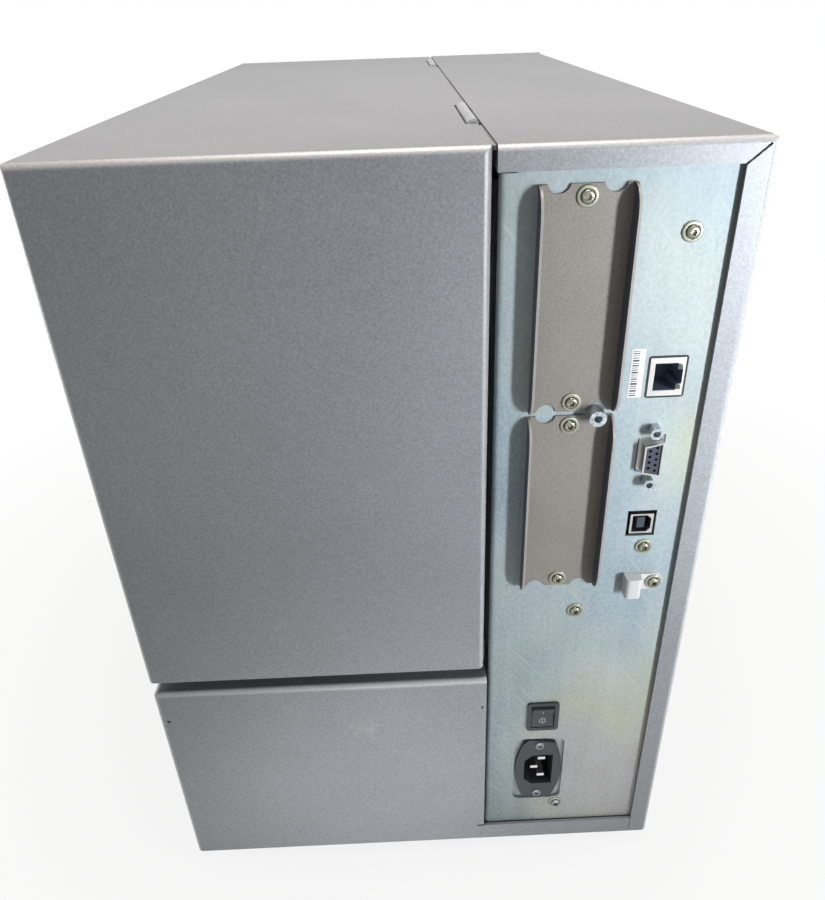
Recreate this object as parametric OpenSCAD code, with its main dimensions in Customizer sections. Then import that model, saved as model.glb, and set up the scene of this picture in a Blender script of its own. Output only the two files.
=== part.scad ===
// Free-standing industrial label printer: a steel case in two bays.
// The electronics bay is on the -X side, the media bay with its lid on the +X side.
// -Y is the front, +Y the rear with the connector panel, +Z is up, sizes in millimetres.
// The origin is the middle of the footprint on the surface that the feet stand on.

/* [Case] */
// Width of the case over its side walls
case_w = 266; // [250:1:300]
// Depth of the case over its front and rear walls
case_d = 492; // [480:1:540]
// Height of the case without the feet
case_h = 386.2; // [380:0.1:420]
// Height of the rubber feet
foot_h = 8; // [5:0.5:14]
// Radius of a rubber foot at the case
foot_r = 11; // [8:0.5:15]
// Distance of the feet from the side walls
foot_inset = 34; // [25:1:50]
// Thickness of the painted sheet
sheet_t = 1.5; // [1.2:0.1:1.8]
// Outer radius of the bends in the painted sheet
bend_r = 3; // [2.2:0.1:3.2]

/* [Bays] */
// Width of the electronics bay over its cover
elec_w = 96.8; // [94:0.1:100]
// Gap between the electronics cover and the lid
seam_gap = 1.8; // [1.6:0.1:2.4]
// Height of the fixed lower walls of the media bay
sill_h = 132; // [110:1:140]
// Gap between the lower walls and the lid
sill_gap = 8.2; // [6:0.1:10]
// Depth of the ledge on the lower walls
ledge_d = 15; // [13:0.5:18]
// Height of the dust lip behind the lid's edge
lip_h = 14; // [10:0.5:18]
// Thickness of the main frame plate
frame_t = 4; // [3:0.5:5]
// Gap between the main frame plate and the seam
frame_gap = 1.3; // [1:0.1:2]

/* [Covers] */
// Width of the upright rear flange of the electronics cover
flange_w = 10.5; // [8:0.1:13]
// Height of the top rear flange of the electronics cover
flange_h = 9; // [7:0.1:12]
// Height of the strip under the connector panel
strip_h = 12; // [8:0.5:16]
// Width of the slit in the mitred corner
mitre_gap = 0.9; // [0.5:0.1:1.5]
// Depth of the flange along the seam
seam_flange = 14; // [12:0.5:18]
// Depth of the lid's upright returns beside the side door
return_d = 16; // [12:0.5:22]
// Depth of the lid's returns along the seam
seam_return = 10; // [6:0.5:12]
// Height of the label exit over the case bottom
mouth_h = 204; // [200:1:215]
// Width of the lid's leg beside the label exit
leg_w = 30; // [20:1:32]

/* [Side door] */
// Height of the fold line over the case bottom
fold_h = 292; // [280:1:310]
// Radius of the fold hinge's bead
fold_r = 2.2; // [2:0.1:2.6]
// Radius of the fold pin
fold_pin_r = 1; // [0.8:0.1:1.2]
// Number of knuckles along the fold
fold_count = 9; // [5:2:15]
// Width of the window opening
window_w = 300; // [240:5:340]
// Height of the window opening
window_h = 96; // [70:1:104]
// Corner radius of the window opening
window_r = 8; // [4:0.5:12]
// Thickness of the clear window
pane_t = 2; // [1.5:0.1:3]
// Overlap of the window on the door
pane_lap = 9; // [6:0.5:12]

/* [Lid hinges] */
// Length of a lid hinge
hinge_l = 60; // [50:1:70]
// Distance of the lid hinges from the middle of the case
hinge_y = 160; // [140:1:175]
// Radius of the hinge knuckles
hinge_r = 2.5; // [2.2:0.1:2.8]
// Radius of the hinge pins
hinge_pin_r = 1.2; // [1:0.1:1.4]
// Height of the knuckles over the case top
hinge_proud = 1.5; // [1:0.1:1.8]
// Thickness of the hinge leaves
leaf_t = 1.2; // [1:0.1:1.4]
// Width of the hinge leaves
leaf_w = 16; // [12:0.5:20]

/* [Connector panel] */
// Thickness of the zinc plated panel
panel_t = 1.2; // [1:0.1:1.6]
// Depth of the panel behind the rear flanges' outer face
panel_recess = 2.5; // [2:0.1:4]
// Outer radius of the panel's bent edge
panel_bend_r = 3; // [2:0.1:4]
// Depth of the panel's bent edge
panel_flange = 38; // [30:1:50]
// Distance of the option slots from the case side
slot_from_side = 64.8; // [62:0.1:66]
// Distance of the upper slot cover from the case top
slot_from_top = 13.9; // [12:0.1:16]
// Width of a slot cover
slot_w = 35; // [32:0.1:36]
// Height of a slot cover
slot_h = 89.5; // [80:0.1:91]
// Gap between the slot covers
slot_gap = 2; // [1.6:0.1:3]
// Thickness of the slot covers
slot_t = 1; // [0.8:0.1:1.4]
// Height of the slot covers' side wings
wing_h = 8; // [5:0.1:9]
// Radius of the notches in the slot covers' ends
notch_r = 4.25; // [3.8:0.05:4.6]
// Distance of the notches from the slot's middle
notch_x = 10.1; // [9:0.1:11]
// Radius of the ground post
post_r = 3.5; // [2.5:0.1:4]
// Length of the ground post
post_l = 7; // [4:0.5:9]
// Radius of the ground post's hole
post_hole_r = 1.6; // [1:0.1:2]

/* [Sockets and switch] */
// Distance of the main board from the case side
board_from_side = 34.1; // [33:0.1:35]
// Height of the network socket over the board
net_h = 14.2; // [13:0.1:15]
// Width of the network socket along the board
net_w = 16.6; // [16:0.1:17.5]
// Distance of the network socket from the case top
net_from_top = 90; // [86:0.1:92]
// Distance of the serial port from the case top
serial_from_top = 126.2; // [124:0.1:130]
// Pitch of the serial port's jack screws
jack_pitch = 25; // [24:0.1:26]
// Radius of the jack screws' threaded holes
jack_hole_r = 1.42; // [1.2:0.01:1.6]
// Distance of the data socket from the case top
data_from_top = 162.1; // [158:0.1:166]
// Size of the square data socket
data_w = 12.4; // [11.5:0.1:13]
// Distance of the switch from the case side
switch_from_side = 66.5; // [62:0.1:68]
// Height of the switch over the case bottom
switch_from_base = 101; // [99:0.1:110]
// Width of the switch frame
switch_w = 16.8; // [16:0.1:19]
// Height of the switch frame
switch_h = 20.4; // [19:0.1:24]
// Half the angle that the rocker tilts through
rocker_tilt = 6; // [4:0.5:8]
// Distance of the power inlet from the case side
inlet_from_side = 66.9; // [62:0.1:68]
// Height of the power inlet over the case bottom
inlet_from_base = 57.3; // [50:0.1:59]
// Pitch of the power inlet's screws
inlet_pitch = 40; // [39:0.1:41]

/* [Electronics] */
// Length of the power supply
psu_l = 162; // [120:1:200]
// Height of the power supply over the switch
psu_rise = 12; // [10:1:16]
// Length of the main board
board_l = 199; // [180:1:230]
// Distance of the main board over the switch
board_rise = 22; // [20:1:30]
// Distance of the main board from the case top
board_drop = 48; // [40:1:60]
// Distance of the standoffs from the main board's edges
standoff_in = 9; // [6:1:12]

/* [Front panel] */
// Reach of the keys in front of the case
front_proud = 6.5; // [5.5:0.1:8]
// Reach of the keys in front of the bezel
key_proud = 0.8; // [0.5:0.1:1.2]
// Wall of the bezel
bezel_t = 2.5; // [2:0.1:3]
// Radius of the bezel's upright edges
bezel_r = 3.5; // [2:0.1:4.5]
// Width of the display lens
lens_w = 66; // [50:1:68]
// Height of the display lens
lens_h = 50; // [40:1:56]
// Distance of the display's middle from the case top
lens_from_top = 79; // [70:1:90]
// Width of a key
key_w = 14; // [10:0.5:16]
// Height of a key
key_h = 9; // [7:0.5:12]
// Pitch of the keys
key_pitch = 22; // [20:0.5:24]
// Distance of the keys below the middle of the display
key_drop = 52; // [44:1:60]
// Travel of a key
key_travel = 1.2; // [0.8:0.1:1.4]

/* [Print mechanism] */
// Inside width of the mechanism
mech_w = 126; // [124:1:132]
// Thickness of the mechanism's side plate
mech_t = 5; // [4:0.5:6]
// Distance of the platen from the case front
platen_from_front = 24; // [23:0.5:28]
// Height of the platen over the case bottom
platen_h = 168; // [166:1:176]
// Radius of the platen roller
platen_r = 12; // [10:0.5:12]
// Radius of the platen shaft
platen_shaft_r = 5; // [4:0.1:6]
// Radius of the platen pulley
platen_pulley_r = 13; // [11:0.5:13]
// Radius of the motor pulley
motor_pulley_r = 6.5; // [5.5:0.5:7]
// Distance of the head pivot behind the platen
head_reach = 87; // [84:1:92]
// Height of the head pivot over the platen axis
head_rise = 46; // [44:0.5:48]
// Radius of the head pivot shaft
head_shaft_r = 5; // [4:0.1:6]
// Radius of the latch shaft
latch_r = 4; // [3:0.1:4.4]
// Length of the head lever
lever_l = 58; // [45:1:60]

/* [Ribbon and media] */
// Radius of the ribbon spindles
spindle_r = 13; // [11:0.5:14]
// Radius of the spindle shafts
spindle_shaft_r = 4; // [3:0.1:5]
// Distance of the spindles from the case top
spindle_from_top = 76; // [70:1:84]
// Distance of the take-up spindle from the case front
takeup_from_front = 96; // [90:1:105]
// Pitch of the two spindles
spindle_pitch = 115; // [100:1:125]
// Distance of the media hanger from the case rear
hanger_from_rear = 146; // [135:1:160]
// Height of the media hanger over the case bottom
hanger_h = 254; // [245:1:262]
// Half the width of the hanger's rail
rail_w = 6; // [4:0.5:8]
// Half the height of the hanger's rail
rail_h = 12; // [9:0.5:14]
// Radius of the dancer roller
dancer_r = 7; // [6:0.5:8]
// Radius of the guide rod
guide_rod_r = 3; // [2.5:0.1:4]

/* [Clearances] */
// Gap between parts that slide past each other
slide_fit = 0.3; // [0.25:0.05:0.4]
// Radial play of a shaft in its bore
run_fit = 0.05; // [0.03:0.01:0.08]
// Gap round a fastener in its hole
hole_fit = 0.15; // [0.1:0.05:0.3]

/* [Hidden] */
$fn = 64;
over = 1;

// Outer planes of the case
xl = -(case_w + fold_r) / 2;
xr = xl + case_w;
yf = -case_d / 2;
yr = case_d / 2;
zb = foot_h;
zt = zb + case_h;
floor_z = zb + sheet_t;

// Seam between the bays, the main frame plate, the sill and the lid's edge
xe = xl + elec_w;
xm = xe + seam_gap;
bx1 = xe - frame_gap;
bx0 = bx1 - frame_t;
sill_z = zb + sill_h;
cover_z = sill_z + sill_gap;
frame_top = zt - seam_flange - 1;
frame_y = [yf + 8, yr - 20];
mitre_share = 0.7;
seam_end = 30;
frame_rebate = [2, 12];
relief = [4, 1.2];

// Lid hinges: axis, knuckle ends and leaf places
hinge_x = xe + leaf_t + hinge_r - 0.4;
hinge_z = zt + hinge_proud - hinge_r;
hinge_clear = 0.5;
knuckle_gap = 0.3;
hinge_mid = hinge_l * 0.4;

// Side door: fold line and leaf edges
fold_z = zb + fold_h;
fold_gap = fold_r + 0.4;
door_gap = 0.6;
door_y = [yf + return_d + door_gap, yr - return_d - door_gap];
door_lip = 10;
window_z = (cover_z + fold_z - fold_gap) / 2 + 2;

// Connector panel and what sits on it
panel_y = yr - panel_recess;
panel_x0 = xl + sheet_t + 1.5;
panel_z1 = zt - sheet_t - 2;
slot_x = xl + slot_from_side;
slot_z = [for (i = [0, 1]) zt - slot_from_top - slot_h / 2 - i * (slot_h + slot_gap)];
notch_out = slot_gap / 2;
slot_screw_in = 4.3;
slot_open = [22, 64];
wing_taper = 10;
slot_seat = panel_y + slot_t;

// Screws: sizes, and places from the case side and the case top, or the case bottom for the low one
screw_r = 1.75;
screw_head_r = 2.9;
screw_head_h = 2.3;
low_head_h = 0.9;
washer_r = 4;
washer_h = 0.9;
screw_l = 6;
corner_screw = [25.3, 32.3];
data_screw = [26.1, 175];
middle_screw = [54.8, 211.9];
low_screw = [55.4, 27.5];
clip_screw = [19.8, 194.4];
clip_t = 2;
clip_h = 6.5;
function from_top(p) = [xl + p[0], zt - p[1]];
function from_base(p) = [xl + p[0], zb + p[1]];
plain_screws = [from_top(corner_screw), from_top(data_screw), from_top(middle_screw), from_base(low_screw)];
clip_at = from_top(clip_screw);

// Sockets
board_x = xl + board_from_side;
board_t = 1.6;
board_edge = 6;
net_z = zt - net_from_top;
serial_x = board_x - 4.9;
serial_z = zt - serial_from_top;
serial_cut = [11.6, 19.6];
serial_shell = [8, 16.4];
serial_proud = 5;
serial_rim = 0.7;
jack_af = 5;
data_x = board_x - data_w / 2 + 0.7;
data_z = zt - data_from_top;
data_shell = data_w - 2;

// Power switch and inlet
switch_x = xl + switch_from_side;
switch_z = zb + switch_from_base;
switch_frame_t = 1.4;
switch_corner = 2;
switch_wall = 1.7;
rocker_w = switch_w - 5.2;
rocker_h = switch_h - 5.8;
rocker_pin_r = 1.2;
rocker_y = panel_y - 1.5;
inlet_x = xl + inlet_from_side;
inlet_z = zb + inlet_from_base;
inlet_r = 13;
inlet_h = 24.6;
inlet_end = 8.6;
inlet_corner = 3;
inlet_t = 2.4;
inlet_pocket = 2;
inlet_pocket_r = 4;
inlet_room = 0.6;
inlet_seat = panel_y - inlet_pocket;
inlet_face = inlet_seat + inlet_t;
inlet_body = [19.5, 27];
inlet_socket = [15.6, 24];
inlet_deep = 18;
inlet_pin = [2, 4];

// Main board, between the switch and the case top
board_y = [panel_y - board_edge - board_l, panel_y - board_edge];
board_z = [switch_z + board_rise, zt - board_drop];
standoff_y = [board_y[0] + standoff_in, panel_y - panel_flange - standoff_in];

// Front panel: bezel face, inner face, display and keys
bezel_y = yf - front_proud + key_proud;
bezel_in = bezel_y + bezel_t;
front_x = (xl + xe) / 2;
lens_z = zt - lens_from_top;
key_z = lens_z - key_drop;
module_lap = 3;
module_t = 3.4;
panel_board_y = bezel_in + module_t;
host_z = key_z - 34;
host_size = [14.4, 7];
host_pitch = 22;

// Print mechanism
mx0 = bx1 + mech_w;
mx1 = mx0 + mech_t;
mouth_z = zb + mouth_h;
platen_y = yf + platen_from_front;
platen_z = zb + platen_h;
platen_x = [bx1 + 8, mx0 - 5];
bearing_r = 8;
bearing_flange_r = 10;
head_gap = 0.4;
head_y = platen_y + head_reach;
head_z = platen_z + head_rise;
head_x = [bx1 + 10, mx0 - 10];
head_arm = 6;
head_boss_r = 9;
head_top = head_z - 6;
head_low = platen_z + platen_r + head_gap;
head_front = platen_y - 9;
sink_z = head_low + 9.6;
plate_low = head_top - 4;
platform_z = platen_z + platen_r - 2;
platform_y = [platen_y + platen_r + 5, platen_y + platen_r + 115];

// Latch: the pressure arms point forward and down at rest and swing forward and up
latch_reach = 16;
latch_roller_r = 4;
latch_angle = 45;
latch_y = head_y - 40;
latch_z = head_top + head_gap + 0.2 + latch_roller_r + latch_reach * cos(latch_angle);
lever_x = [mx1 + 4, mx1 + 10];
lever_rise = 6;

// Drive: pulley plane, motor place
pulley_x = [bx0 - 27, bx0 - 17];
pulley_flange = 1.5;
belt_t = 1.5;
motor_y = platen_y + 62;
motor_z = platen_z - 62;
motor_w = 56.4;
motor_l = 48;
motor_face = bx0 - 33;
bracket_t = 3;
motor_shaft_r = 3.175;

// Ribbon spindles and media handling
spindle_z = zt - spindle_from_top;
spindle_y = [yf + takeup_from_front, yf + takeup_from_front + spindle_pitch];
spindle_x = [bx1 + 8, mx0 - 4];
ribbon_motor_r = 18;
ribbon_motor_x = [bx0 - 46, bx0];
hanger_y = yr - hanger_from_rear;
hanger_z = zb + hanger_h;
hanger_end = xr - 22;
guide_x = [mx0 - 2, mx0 + 2];
dancer_y = head_y + 135;
dancer_z = zb + 112;
dancer_arm_l = 56;
dancer_angle = 148;
dancer_axle_r = 3;
dancer_pin_r = 4;
dancer_x = [bx1 + 3, bx1 + 9];
rod_y0 = head_y + 30;
rod_z0 = platform_z + 8;
edge_x = bx1 + 84;

// Finishes
paint = [0.63, 0.64, 0.65];
zinc = [0.74, 0.77, 0.76];
steel = [0.66, 0.67, 0.68];
plate_brown = [0.55, 0.53, 0.51];
black = [0.12, 0.12, 0.13];
dark = [0.22, 0.23, 0.25];
brass = [0.78, 0.66, 0.42];
nylon = [0.9, 0.9, 0.88];
board_green = [0.1, 0.35, 0.22];
rubber = [0.16, 0.16, 0.16];
clear = [0.7, 0.78, 0.82, 0.4];

// A block given by its range on each axis
module slab(x, y, z) {
    translate([x[0], y[0], z[0]])
        cube([x[1] - x[0], y[1] - y[0], z[1] - z[0]]);
}

// Rods along each axis
module rod_x(x, y, z, r) {
    translate([x[0], y, z])
        rotate([0, 90, 0])
            cylinder(h = x[1] - x[0], r = r);
}
module rod_y(x, y, z, r) {
    translate([x, y[0], z])
        rotate([-90, 0, 0])
            cylinder(h = y[1] - y[0], r = r);
}
module rod_z(x, y, z, r) {
    translate([x, y, z[0]])
        cylinder(h = z[1] - z[0], r = r);
}

function sorted(a, b) = a < b ? [a, b] : [b, a];
function grow(a, by) = [a[0] - by, a[1] + by];
function about(c, w) = [c - w / 2, c + w / 2];

// Cutters that round the outside of a bend; the signs point out of the sheet
module bend_x(x, y, z, sy, sz, r = bend_r) {
    difference() {
        slab(grow(x, over), sorted(y - sy * r, y + sy * over), sorted(z - sz * r, z + sz * over));
        rod_x(grow(x, 2 * over), y - sy * r, z - sz * r, r);
    }
}
module bend_y(y, x, z, sx, sz, r = bend_r) {
    difference() {
        slab(sorted(x - sx * r, x + sx * over), grow(y, over), sorted(z - sz * r, z + sz * over));
        rod_y(x - sx * r, grow(y, 2 * over), z - sz * r, r);
    }
}
module bend_z(z, x, y, sx, sy, r = bend_r) {
    difference() {
        slab(sorted(x - sx * r, x + sx * over), sorted(y - sy * r, y + sy * over), grow(z, over));
        rod_z(x - sx * r, y - sy * r, grow(z, 2 * over), r);
    }
}

// Two discs joined by a tapered web, the second one at distance d along x;
// the web lies a little inside the discs, like the waist of a cast lever
module link(d, r1, r2) {
    waist = 0.3;
    a = acos((r1 - r2) / d);
    w1 = (r1 - waist) * [cos(a), sin(a)];
    w2 = (r2 - waist) * [cos(a), sin(a)];
    circle(r = r1);
    translate([d, 0])
        circle(r = r2);
    polygon([
        [w1[0], w1[1]], [d + w2[0], w2[1]],
        [d + w2[0], -w2[1]], [w1[0], -w1[1]]
    ]);
}

// A flat shape drawn in (y, z) and given a thickness along X
module plate_x(x) {
    translate([x[0], 0, 0])
        rotate([90, 0, 90])
            linear_extrude(height = x[1] - x[0])
                children();
}

// A flat shape drawn in (x, z) and given a thickness along Y
module plate_y(y) {
    translate([0, y[1], 0])
        rotate([90, 0, 0])
            linear_extrude(height = y[1] - y[0])
                children();
}

// A rectangle round a middle point, with rounded corners
module rounded_2d(c, size, r) {
    translate(c) {
        square([size[0] - 2 * r, size[1]], center = true);
        square([size[0], size[1] - 2 * r], center = true);
        for (sx = [-1, 1], sz = [-1, 1])
            translate([sx * (size[0] / 2 - r), sz * (size[1] / 2 - r)])
                circle(r = r);
    }
}

// CASE

// Floor, lower walls, ledge with dust lip, and the strip under the connector panel
module base_tray() {
    wall_x = [xe, xr];
    lip_y = about(yr - ledge_d + sheet_t / 2, sheet_t);
    lip_x = about(xr - ledge_d + sheet_t / 2, sheet_t);
    color(paint)
        difference() {
            union() {
                slab([xl + sheet_t + slide_fit, xr], grow([yf, yr], -sheet_t - slide_fit), [zb, floor_z]);
                slab([xl + flange_w + slide_fit, xr], [yf, yr], [zb, floor_z]);
                slab(wall_x, [yr - sheet_t, yr], [zb, sill_z]);
                slab([xl + flange_w + slide_fit, xr], [yr - sheet_t, yr], [zb, zb + strip_h]);
                slab([xr - sheet_t, xr], [yf, yr], [zb, sill_z]);
                slab(wall_x, [yf, yf + sheet_t], [zb, sill_z]);
                slab(wall_x, [lip_y[0], yr], [sill_z - sheet_t, sill_z]);
                slab([lip_x[0], xr], [yf, yr], [sill_z - sheet_t, sill_z]);
                slab([xe, lip_x[1]], lip_y, [sill_z - sheet_t, sill_z + lip_h]);
                slab(lip_x, [yf + ledge_d, lip_y[1]], [sill_z - sheet_t, sill_z + lip_h]);
            }
            bend_x(wall_x, yr, sill_z, 1, 1);
            bend_x(wall_x, yf, sill_z, -1, 1);
            bend_y([yf, yr], xr, sill_z, 1, 1);
            bend_z([zb, sill_z], xr, yr, 1, 1);
            bend_z([zb, sill_z], xr, yf, 1, -1);
            slab([xe - over, xe + relief[0]], [yr - sheet_t - over, yr + over],
                 about(zb + strip_h, relief[1]));
            for (x = [xe + 2.2, xr - 4.6])
                rod_y(x, [yr - 2 * sheet_t, yr + over], sill_z - 20, 0.9);
        }
}

module rubber_feet() {
    color(rubber)
        for (x = [xl + foot_inset, xr - foot_inset], y = [yf + foot_inset, yr - foot_inset])
            translate([x, y, 0])
                cylinder(h = foot_h, r1 = foot_r - 1.5, r2 = foot_r);
}

// Upright plate that carries the print mechanism, the ribbon spindles and the media hanger
module main_frame() {
    foot_flange = 18;
    color(steel)
        difference() {
            union() {
                slab([bx0, bx1], frame_y, [floor_z, frame_top]);
                slab([bx1, bx1 + foot_flange], grow(frame_y, -30), [floor_z, floor_z + frame_t]);
                rod_x([bx1, dancer_x[1] + 2], dancer_y, dancer_z, dancer_pin_r);
            }
            slab([bx0 - over, bx0 + frame_rebate[0]], [frame_y[1] - frame_rebate[1], frame_y[1] + over],
                 grow([floor_z, frame_top], over));
            rod_x(grow([bx0, bx1], over), platen_y, platen_z, bearing_r + run_fit);
            for (y = spindle_y)
                rod_x(grow([bx0, bx1], over), y, spindle_z, bearing_r + run_fit);
            rod_x(grow([bx0, bx1], over), head_y, head_z, head_shaft_r + run_fit);
            rod_x(grow([bx0, bx1], over), latch_y, latch_z, latch_r + run_fit);
            rod_x(grow([bx0, bx1], over), rod_y0, rod_z0, guide_rod_r + run_fit);
        }
}

// Top, outer side wall, seam flange and the flanges that frame the connector panel
module electronics_cover() {
    slit = norm([flange_w, flange_h]);
    color(paint)
        difference() {
            union() {
                slab([xl, xe], [yf, yr], [zt - sheet_t, zt]);
                slab([xl, xl + sheet_t], [yf, yr], [zb, zt]);
                slab([xe - sheet_t, xe], [yf, yr], [zt - flange_h, zt]);
                slab([xe - sheet_t, xe], grow([yf, yr], -seam_end), [zt - seam_flange, zt]);
                for (y = [[yf, yf + sheet_t], [yr - sheet_t, yr]]) {
                    slab([xl, xe], y, [zt - flange_h, zt]);
                    slab([xl, xl + flange_w], y, [zb, zt]);
                }
            }
            bend_y([yf, yr], xl, zt, -1, 1);
            bend_x([xl, xe], yr, zt, 1, 1);
            bend_z([zb, zt], xl, yr, -1, 1);
            translate([xl + flange_w, yr - sheet_t - over, zt - flange_h])
                rotate([0, atan2(-flange_h, -flange_w), 0])
                    translate([-over, 0, -mitre_gap / 2])
                        cube([over + slit * mitre_share, sheet_t + 2 * over, mitre_gap]);
        }
}

// CONNECTOR PANEL

// Zinc plated panel with a bent edge along the main frame and a foot on the floor
module rear_panel() {
    thickness = grow([panel_y - panel_t, panel_y], over);
    pocket = 2 * (inlet_room * [1, 1] + [inlet_r, inlet_h]);
    pocket_floor = grow([inlet_seat - panel_t, inlet_seat], over);
    color(zinc)
        difference() {
            union() {
                slab([panel_x0, bx0], [panel_y - panel_t, panel_y], [floor_z, panel_z1]);
                slab([bx0 - panel_t, bx0], [panel_y - panel_flange, panel_y], [floor_z, panel_z1]);
                slab([panel_x0, bx0], [panel_y - 14, panel_y], [floor_z, floor_z + panel_t]);
                plate_y([inlet_seat - panel_t, panel_y - panel_t / 2])
                    rounded_2d([inlet_x, inlet_z], pocket + 2 * panel_t * [1, 1], inlet_pocket_r + panel_t);
            }
            bend_z([floor_z, panel_z1], bx0, panel_y, 1, 1, panel_bend_r);
            for (z = slot_z) {
                slab(about(slot_x, slot_open[0]), thickness, about(z, slot_open[1]));
                for (s = [-1, 1])
                    rod_y(slot_x, thickness, z + s * (slot_h / 2 - slot_screw_in), screw_r + hole_fit);
            }
            for (p = concat(plain_screws, [clip_at]))
                rod_y(p[0], thickness, p[1], screw_r + hole_fit);
            slab([board_x - net_h - slide_fit, board_x + slide_fit], thickness,
                 about(net_z, net_w + 2 * slide_fit));
            plate_y(thickness)
                translate([serial_x, serial_z])
                    d_outline(serial_cut);
            for (s = [-1, 1])
                rod_y(serial_x, thickness, serial_z + s * jack_pitch / 2, screw_r);
            slab(about(data_x, data_w + 2 * slide_fit), thickness, about(data_z, data_w + 1.4));
            slab(about(switch_x, switch_w - 2), thickness, about(switch_z, switch_h - 2));
            plate_y([inlet_seat, panel_y + over])
                rounded_2d([inlet_x, inlet_z], pocket, inlet_pocket_r);
            slab(about(inlet_x, inlet_body[0] + 2 * slide_fit), pocket_floor,
                 about(inlet_z, inlet_body[1] + 2 * slide_fit));
            for (s = [-1, 1])
                rod_y(inlet_x, pocket_floor, inlet_z + s * inlet_pitch / 2, screw_r + hole_fit);
        }
}

// D-shaped outline of the serial port: the long side faces away from the board
module d_outline(size) {
    w = size[0] / 2;
    h = size[1] / 2;
    polygon([[-w, -h], [-w, h], [w, h - 1.6], [w, 1.6 - h]]);
}

// A point on the rounded end of a slot cover's wing, at angle a from the plate
function wing_edge(a, z, half) =
    [slot_seat + wing_h * sin(a), z + half - sign(half) * wing_taper * (1 - cos(a))];

// Slot cover: plate with notched ends and an outward wing on each long side
module slot_cover(z) {
    half = slot_h / 2;
    color(plate_brown)
        difference() {
            union() {
                slab(about(slot_x, slot_w), [panel_y, slot_seat], about(z, slot_h));
                for (x = [slot_x - slot_w / 2, slot_x + slot_w / 2 - slot_t])
                    plate_x([x, x + slot_t])
                        polygon(concat(
                            [[panel_y, z + half]],
                            [for (a = [0:15:90]) wing_edge(a, z, half)],
                            [for (a = [90:-15:0]) wing_edge(a, z, -half)],
                            [[panel_y, z - half]]
                        ));
            }
            for (sx = [-1, 1], sz = [-1, 1])
                rod_y(slot_x + sx * notch_x, [panel_y - over, slot_seat + over],
                      z + sz * (half + notch_out), notch_r);
            for (s = [-1, 1])
                rod_y(slot_x, [panel_y - over, slot_seat + over], z + s * (half - slot_screw_in),
                      screw_r + hole_fit);
        }
}
module slot_cover_upper() slot_cover(slot_z[0]);
module slot_cover_lower() slot_cover(slot_z[1]);

// Screw with a washer under a domed head that has a hexagonal socket; y is its seat
module screw(x, y, z, with_washer = true, head_h = screw_head_h) {
    head_y = with_washer ? y + washer_h : y;
    translate([x, head_y, z])
        rotate([-90, 0, 0])
            difference() {
                union() {
                    cylinder(h = head_h / 2, r = screw_head_r);
                    translate([0, 0, head_h / 2])
                        cylinder(h = head_h / 2, r1 = screw_head_r, r2 = screw_head_r * 0.7);
                    if (with_washer)
                        translate([0, 0, -washer_h])
                            cylinder(h = washer_h, r = washer_r);
                    translate([0, 0, -screw_l])
                        cylinder(h = screw_l, r = screw_r);
                }
                translate([0, 0, head_h * 0.4])
                    cylinder(h = head_h, r = 1.5, $fn = 6);
            }
}
module panel_screws() {
    color(brass) {
        for (z = slot_z, s = [-1, 1])
            screw(slot_x, slot_seat, z + s * (slot_h / 2 - slot_screw_in));
        for (p = plain_screws)
            screw(p[0], panel_y, p[1]);
        screw(clip_at[0], panel_y + clip_t, clip_at[1], false);
        for (s = [-1, 1])
            screw(inlet_x, inlet_face, inlet_z + s * inlet_pitch / 2, false, low_head_h);
    }
}

// Hollow post for an earth lead, between the slot covers
module ground_post() {
    z = (slot_z[0] + slot_z[1]) / 2;
    x = slot_x - notch_x;
    color(zinc)
        difference() {
            rod_y(x, [panel_y, panel_y + post_l], z, post_r);
            rod_y(x, [panel_y + 1, panel_y + post_l + over], z, post_hole_r);
        }
}

// Shielded network socket on its side, its catch towards the case side
module network_socket() {
    shield = 0.8;
    face = panel_y + 0.3;
    mouth_x = [board_x - net_h + 3, board_x - 2];
    mouth_w = 11.9;
    catch_w = 6.2;
    color(steel)
        difference() {
            slab([board_x - net_h, board_x], [face - 21, face], about(net_z, net_w));
            slab(mouth_x, [face - 13, face + over], about(net_z, mouth_w));
            slab([board_x - net_h + shield, mouth_x[0] + over], [face - 13, face + over],
                 about(net_z, catch_w));
        }
}

// Serial port: flange behind the panel, D-shaped shell, and the face with its contact holes
module serial_port() {
    face = panel_y + serial_proud;
    contact_z = 2.77;
    contact_r = 0.65;
    row = 1.42;
    color(steel)
        difference() {
            union() {
                slab([board_x - 11.4, board_x], [panel_y - panel_t - 11, panel_y - panel_t],
                     about(serial_z, jack_pitch + 6));
                plate_y([panel_y - panel_t, face])
                    translate([serial_x, serial_z])
                        d_outline(serial_shell);
            }
            plate_y([face - serial_rim, face + over])
                translate([serial_x, serial_z])
                    d_outline([serial_shell[0] - 2 * serial_rim, serial_shell[1] - 2 * serial_rim]);
            for (i = [-2:2])
                rod_y(serial_x - row, [face - 4, face + over], serial_z + i * contact_z, contact_r);
            for (i = [-1.5:1.5])
                rod_y(serial_x + row, [face - 4, face + over], serial_z + i * contact_z, contact_r);
            for (s = [-1, 1])
                rod_y(serial_x, [panel_y - 7, panel_y], serial_z + s * jack_pitch / 2, screw_r);
        }
}

// Hexagonal jack screws with a threaded hole each
module jack_screws() {
    color(zinc)
        for (s = [-1, 1])
            translate([serial_x, panel_y, serial_z + s * jack_pitch / 2])
                rotate([-90, 0, 0])
                    difference() {
                        union() {
                            cylinder(h = serial_proud, r = jack_af / sqrt(3), $fn = 6);
                            translate([0, 0, -6])
                                cylinder(h = 6, r = screw_r - hole_fit);
                        }
                        translate([0, 0, 0.5])
                            cylinder(h = serial_proud, r = jack_hole_r);
                    }
}

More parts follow.
